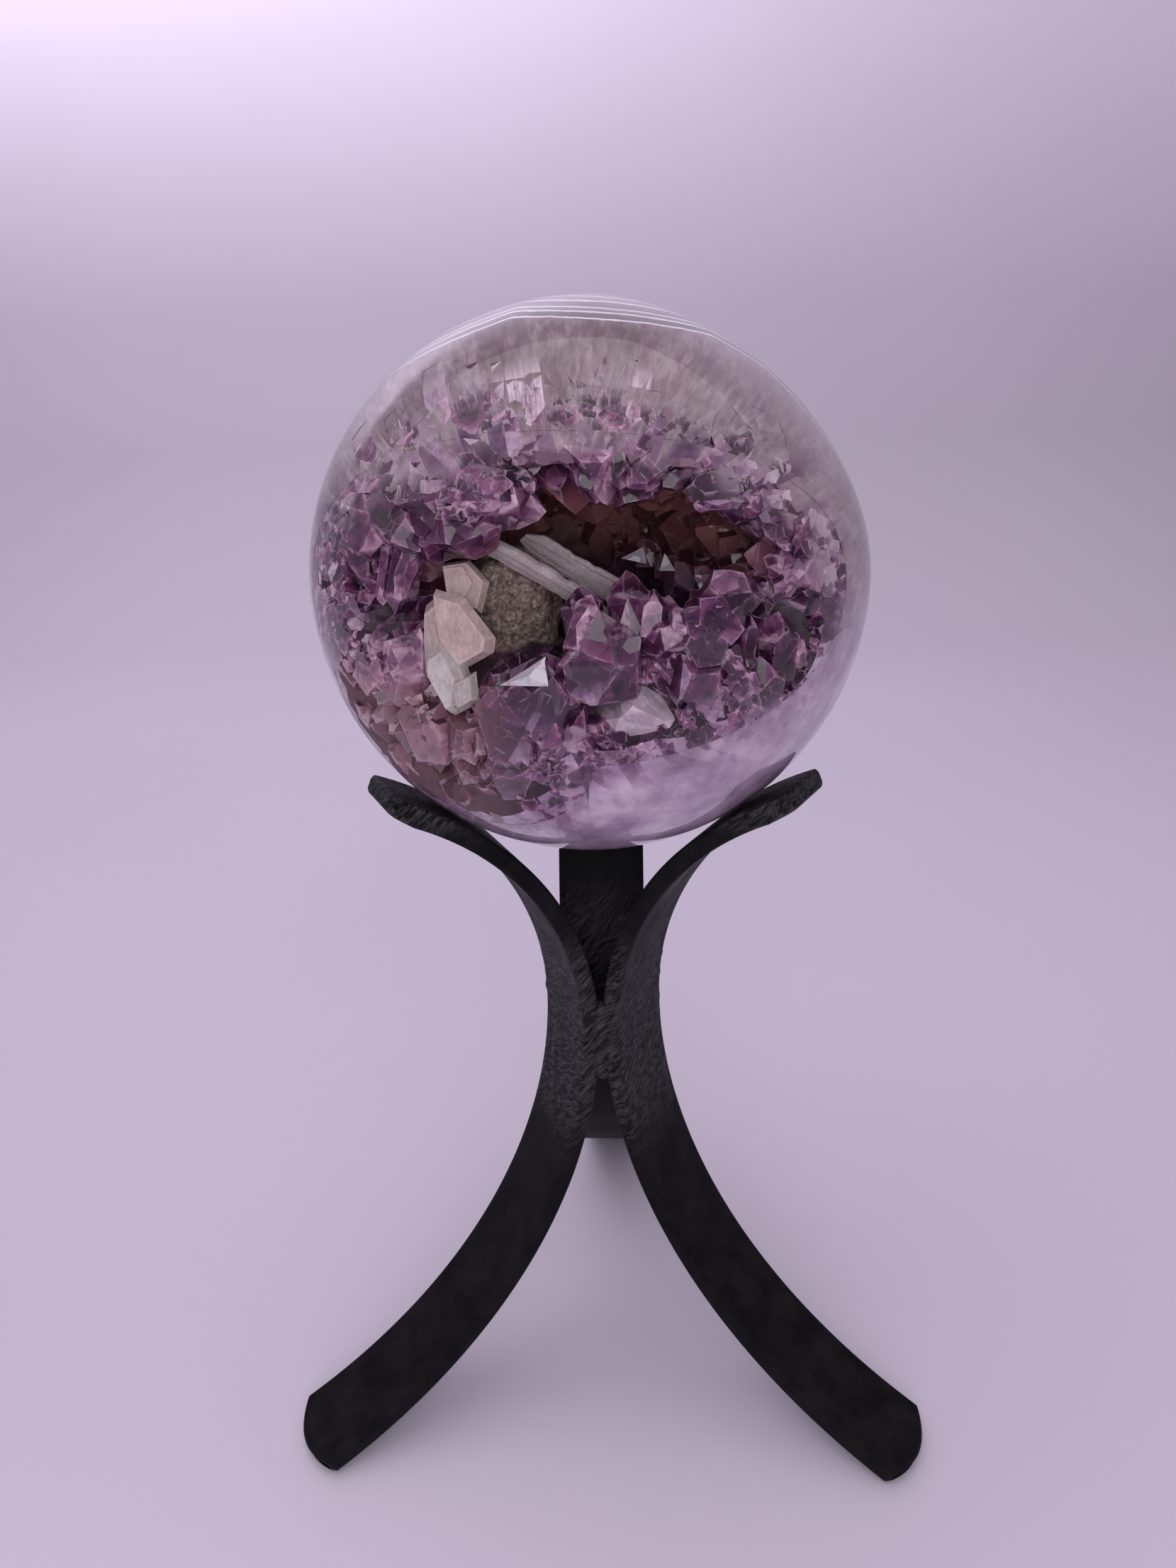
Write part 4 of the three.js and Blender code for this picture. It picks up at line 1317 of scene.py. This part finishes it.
def bar_point(s, depth, across):
    """Point of a bar a length s above the waist, and a depth under its inner face."""
    if s >= 0:
        slope = -s / ARM_BEND_RADIUS
        out = ARM_BEND_RADIUS * (1 - math.cos(slope))
        drop = ARM_BEND_RADIUS * math.sin(slope)
    else:
        slope = leg_slope(-s)
        out, drop = leg_point(-s)
    x = WAIST_RADIUS + out + depth * math.cos(slope)
    return Vector((x, across, WAIST_HEIGHT - drop + depth * math.sin(slope)))


def rounded_section(width, thickness, radius, along_width, along_edge, corner_steps):
    """Closed outline of a flat bar's section: (depth, across) points around it."""
    points = []
    half = width / 2
    centres = (
        (radius, half - radius),
        (thickness - radius, half - radius),
        (thickness - radius, radius - half),
        (radius, radius - half),
    )
    starts = (math.pi, math.pi / 2, 0, -math.pi / 2)
    for k, ((depth, across), start) in enumerate(zip(centres, starts)):
        for i in range(corner_steps + 1):
            angle = start - math.pi / 2 * i / corner_steps
            points.append((depth + radius * math.cos(angle), across + radius * math.sin(angle)))
        first = points[-1]
        depth, across = centres[(k + 1) % 4]
        angle = starts[(k + 1) % 4]
        last = (depth + radius * math.cos(angle), across + radius * math.sin(angle))
        steps = along_edge if k % 2 == 0 else along_width
        for i in range(1, steps):
            t = i / steps
            points.append((first[0] + (last[0] - first[0]) * t, first[1] + (last[1] - first[1]) * t))
    return points


def bar_mesh(name, ground_side, edge_radius, material):
    """One bent bar with rounded edges, a rounded foot and a ground corner at its tip."""
    section = rounded_section(BAR_WIDTH, BAR_THICKNESS, edge_radius, 14, 4, 3)
    stations = 150
    seed = Vector((len(name) * 7.3, ground_side * 11.0, ord(name[-1]) * 1.7))
    length = LEG_LENGTH + ARM_LENGTH
    between = length - 2 * edge_radius
    rings = [*END_TUCKS, *((edge_radius + between * i / stations, 0.0) for i in range(stations + 1))]
    rings += [(length - along, tuck) for along, tuck in reversed(END_TUCKS)]
    middle = BAR_THICKNESS / 2
    bm = bmesh.new()
    loops = []
    for along, tuck in rings:
        loop = []
        for depth, across in section:
            d = middle + (depth - middle) * (1 - tuck * edge_radius / middle)
            a = across * (1 - tuck * edge_radius / (BAR_WIDTH / 2))
            share = a / (BAR_WIDTH / 2)
            s = along - LEG_LENGTH
            near_foot = max(0.0, 1 - (s + LEG_LENGTH) / END_BLEND)
            near_tip = max(0.0, 1 - (ARM_LENGTH - s) / END_BLEND)
            corner = max(0.0, ground_side * share - 0.3) / 0.7
            shaped = s + FOOT_ROUNDING * share**2 * near_foot - ARM_CORNER_GROUND * corner**2 * near_tip
            burr = max(0.0, noise.noise(Vector((s * 0.3, ground_side, 3.7))) - 0.1) * BURR_HEIGHT
            burr *= 1 - smoothstep(abs(s - BURR_MIDDLE), *BURR_FADE)
            burr *= smoothstep(-ground_side * share, 0.8, 1)
            point = bar_point(shaped, d, a - ground_side * burr)
            dent = noise.fractal(point * 0.13 + seed, 0.8, 2.1, 4) * 0.12
            point.x += (middle - d) * (0.02 + dent * 0.05)
            point.z = max(point.z, 0.02)
            loop.append(bm.verts.new(point))
        loops.append(loop)
    skin(bm, loops)
    mesh = new_mesh(name, make_smooth(bm), (material,))
    values = []
    for vertex in mesh.vertices:
        height = vertex.co.z - WAIST_HEIGHT
        near_waist = 1 - smoothstep(abs(height - WAIST_MARKS_HEIGHT), *WAIST_MARKS_FADE)
        values.append(max(near_waist, smoothstep(height, *END_MARKS_FADE)))
    return keep_values(mesh, "POINT", ground=values)


def place_on_stand(mesh, angle):
    turn = Matrix.Translation(stand_axis()) @ Matrix.Rotation(math.radians(angle), 4, "Z")
    mesh.transform(turn @ Matrix.Scale(MM, 4))
    return mesh


def weld_mesh(name, angle, material):
    """Weld bead with ripples, which bulges more on the outside and carries grinder marks all over."""
    groove = (BAR_WIDTH / 2) / math.sin(math.radians(60)) - WELD_INSET
    bm = bmesh.new()
    loops = []
    steps = 60
    around = 20
    for k in range(steps + 1):
        t = k / steps
        ends = math.sqrt(max(0.03, 1 - (2 * t - 1) ** 6))
        ripple = 1 + 0.05 * math.cos(t * 34 + angle) + 0.05 * noise.noise(Vector((t * 6, angle, 0)))
        loop = []
        for i in range(around):
            turn = 2 * math.pi * i / around
            out = math.cos(turn)
            side = math.sin(turn)
            bulge = WELD_BULGES[0] if out > 0 else WELD_BULGES[1]
            x = groove + (out * bulge - WELD_SUNK) * ends * ripple
            y = side * WELD_HALF_WIDTH * ends * ripple
            z = WAIST_HEIGHT - WELD_DROP + (t - 0.5) * WELD_LENGTH
            rough = noise.noise(Vector((x * 0.9, y * 0.9 + angle, z * 0.9))) * 0.16
            loop.append(bm.verts.new((x + rough * out, y + rough * side, z)))
        loops.append(loop)
    skin(bm, loops, fanned=False)
    return keep_values(new_mesh(name, make_smooth(bm), (material,)), "POINT", ground=1.0)


# Settings


def power(name, description, default):
    return FloatProperty(name=name, description=description, subtype="POWER", default=default, min=0)


def tint(name, description, default):
    return FloatVectorProperty(name=name, description=description, subtype="COLOR", default=default)


class StoneSettings(bpy.types.PropertyGroup):
    polish: FloatProperty(
        name="Polish Roughness", description="Roughness of the polished surface", default=0.025, min=0, max=1
    )
    clearness: FloatProperty(
        name="Crystal Clearness",
        description="Share of light that passes into a crystal",
        default=0.25,
        min=0,
        max=1,
    )
    tries: IntProperty(
        name="Crystal Tries", description="Places tried for a crystal on each wall", default=1500, min=10
    )
    seed: IntProperty(name="Seed", description="Seed for the crystals' places and shapes", default=7)


class StandSettings(bpy.types.PropertyGroup):
    edge_radius: FloatProperty(
        name="Edge Radius",
        description="Rounding of the bars' long edges, in millimetres",
        default=0.9,
        min=0.1,
    )


class StudioSettings(bpy.types.PropertyGroup):
    floor_colour: tint("Floor Colour", "Colour of the floor", (0.59, 0.55, 0.645))
    low_light: tint("Low Light", "Colour of the soft light from low and in front", (0.22, 0.19, 0.24))
    high_light: tint("High Light", "Colour of the soft light from above", (1.0, 0.92, 1.0))
    brightness: FloatProperty(
        name="Brightness", description="Strength of the soft light", default=0.86, min=0
    )
    overhead: power("Overhead", "Power of the lamp above", 7)
    low: power("Low", "Power of the soft lamp in front, near the floor", 0.7)
    wash: power("Wash", "Power of the lamp that lights the backdrop", 2.2)
    front: power("Front", "Power of the small lamp beside the camera", 1.2)


class GEODE_OT_stone(bpy.types.Operator):
    """Builds the polished quartz and the crust of amethyst crystals in it"""

    bl_idname = "geode.stone"
    bl_label = "Polished Stone"

    def execute(self, context):
        stone = context.scene.stone
        materials = [polished_stone(stone), crystal_faces(stone), hidden_rind()]
        polished, natural, rind = materials
        vug = [ellipsoid("vug", space, 4, 0, (rind,)) for space in VUG]
        druse = Druse(random.Random(stone.seed), stone.tries, (natural,))
        shell = stone_shell("shell", (polished,))
        ball = solid_from_steps("quartz_ball_fine", [shell, ("DIFFERENCE", vug + druse.rooms)])
        sorted_slots(ball, materials)
        polish_shading(ball)
        add_piece("polished_quartz", place_stone(ball), "quartz", "quartz_ball")

        hollows = [ellipsoid("hollow", h[:2], 5, 0.6, (natural,)) for h in HOLLOWS]
        bed = bed_shell("bed", (polished, natural))
        rock = ellipsoid("rock", BARE_ROCK, 6, 1.6, (natural,))
        filling = solid_from_steps("filling", [vug[0], ("UNION", vug[1:])])
        cuts = [("INTERSECT", [bed]), ("DIFFERENCE", hollows), ("UNION", [rock]), ("INTERSECT", [filling])]
        bed = solid_from_steps("bed", [filling, *cuts])
        room = solid_from_steps("room", [filling, ("UNION", druse.rooms)])
        first, *others = druse.meshes
        points = solid_from_steps("points", [first, ("UNION", others), ("INTERSECT", [room])])
        # the cover stands a little out of the stone, so the crystals' ground faces stay as they are
        cover = stone_shell("cover", (polished,), 4 * POLISH_DEPTH)
        crust = solid_from_steps("crust", [bed, ("UNION", [points]), ("INTERSECT", [cover])])
        sorted_slots(crust, materials)
        polish_shading(crust)
        measure_facets(crust, druse.facets)
        add_piece("amethyst_crystals", place_stone(crust), "amethyst", "amethyst_crust")
        return {"FINISHED"}


class GEODE_OT_calcite(bpy.types.Operator):
    """Finishes the calcite blades and plates"""

    bl_idname = "geode.calcite"
    bl_label = "Calcite"

    def execute(self, context):
        clear = calcite_faces("clear_calcite", CLEAR_SHADES, (1.6, 1.2, 2.8), 0.35)
        cream = calcite_faces("cream_calcite", CREAM_SHADES, (1.4, 0.5, 0.35), 0.3, CREAM_BLUSH)
        for name, blade in BLADES.items():
            add_piece(name + "_grooved", place_stone(blade_mesh(name, blade, clear)), "calcite", name)
        for name, plate in PLATES.items():
            add_piece(name + "_cleaved", place_stone(plate_mesh(name, plate, cream)), "calcite", name)
        return {"FINISHED"}


class GEODE_OT_stand(bpy.types.Operator):
    """Builds the three bent bars and the welds that join them"""

    bl_idname = "geode.stand"
    bl_label = "Stand"

    def execute(self, context):
        steel = black_steel()
        for name, angle in BAR_ANGLES.items():
            side = -1 if name == "bar_right" else 1
            mesh = bar_mesh(name, side, context.scene.stand.edge_radius, steel)
            add_piece(name + "_steel", place_on_stand(mesh, angle), "steel", name)
        for name, angle in WELD_ANGLES.items():
            mesh = weld_mesh(name, angle, steel)
            add_piece(name + "_bead", place_on_stand(mesh, angle), "steel", name)
        return {"FINISHED"}


def sweep_mesh(material):
    """Sheet of paper that lies on the floor and curves up behind."""
    profile = [(-1.6, 0.0), (0.0, 0.0), (SWEEP_START, 0.0)]
    for i in range(1, 17):
        turn = math.pi / 2 * i / 16
        profile.append((SWEEP_START + SWEEP_RADIUS * math.sin(turn), SWEEP_RADIUS * (1 - math.cos(turn))))
    profile.append((0.9, 2.0))
    bm = bmesh.new()
    left, right = ([bm.verts.new((x, y, z)) for y, z in profile] for x in (-2.5, 2.5))
    for i in range(len(profile) - 1):
        bm.faces.new((left[i], right[i], right[i + 1], left[i + 1])).smooth = True
    return new_mesh("floor", bm, (material,))


def area_light(name, energy, place, target, size, colour, glints):
    """Rectangular lamp; one without glints lights the object but isn't seen in its polish."""
    light = bpy.data.lights.new(name, "AREA")
    light.shape = "RECTANGLE"
    light.size, light.size_y = size
    light.energy = energy
    light.color = colour
    lamp = new_object(name, light)
    lamp.location = place
    lamp.rotation_euler = (Vector(target) - Vector(place)).to_track_quat("-Z", "Y").to_euler()
    lamp.visible_glossy = glints


def photo_camera():
    """Camera that looks from the photograph's place, a little rolled and shifted sideways."""
    data = bpy.data.cameras.new("camera")
    data.lens = CAMERA_LENS
    data.clip_start = 0.01
    forward = (CAMERA_TARGET - CAMERA_AT).normalized()
    right = forward.cross(Vector((0, 0, 1))).normalized()
    up = right.cross(forward)
    rolled_right = math.cos(CAMERA_ROLL) * right + math.sin(CAMERA_ROLL) * up
    rolled_up = -math.sin(CAMERA_ROLL) * right + math.cos(CAMERA_ROLL) * up
    turn = Matrix((rolled_right, rolled_up, -forward)).transposed().to_4x4()
    camera = new_object("camera", data)
    camera.matrix_world = Matrix.Translation(CAMERA_AT + rolled_right * CAMERA_SIDE_SHIFT) @ turn
    return camera


class GEODE_OT_studio(bpy.types.Operator):
    """Sets the floor, the backdrop, the lights and the camera"""

    bl_idname = "geode.studio"
    bl_label = "Studio"

    def execute(self, context):
        scene = context.scene
        floor = new_object("floor", sweep_mesh(paper(tuple(scene.studio.floor_colour))))
        scene.world = soft_light(scene.studio)
        for name, lamp in LAMPS.items():
            area_light(name, getattr(scene.studio, name), *lamp)
        scene.view_settings.view_transform = "Standard"
        scene.camera = photo_camera()
        return {"FINISHED"}


class GEODE_PT_panel(bpy.types.Panel):
    """Lists the steps that build the object"""

    bl_label = "Amethyst Sphere"
    bl_space_type = "VIEW_3D"
    bl_region_type = "UI"
    bl_category = "Amethyst"

    def draw(self, context):
        for step in STEPS:
            self.layout.operator(step.bl_idname)


STEPS = (GEODE_OT_stone, GEODE_OT_calcite, GEODE_OT_stand, GEODE_OT_studio)
SETTINGS = {"stone": StoneSettings, "stand": StandSettings, "studio": StudioSettings}
CLASSES = (*SETTINGS.values(), *STEPS, GEODE_PT_panel)


def register():
    for item in CLASSES:
        bpy.utils.register_class(item)
    for name, group in SETTINGS.items():
        setattr(bpy.types.Scene, name, PointerProperty(type=group))


def unregister():
    for name in SETTINGS:
        delattr(bpy.types.Scene, name)
    for item in reversed(CLASSES):
        bpy.utils.unregister_class(item)


def main():
    register()
    bpy.ops.geode.stone()
    bpy.ops.geode.calcite()
    bpy.ops.geode.stand()
    bpy.ops.geode.studio()


if __name__ == "__main__":
    main()
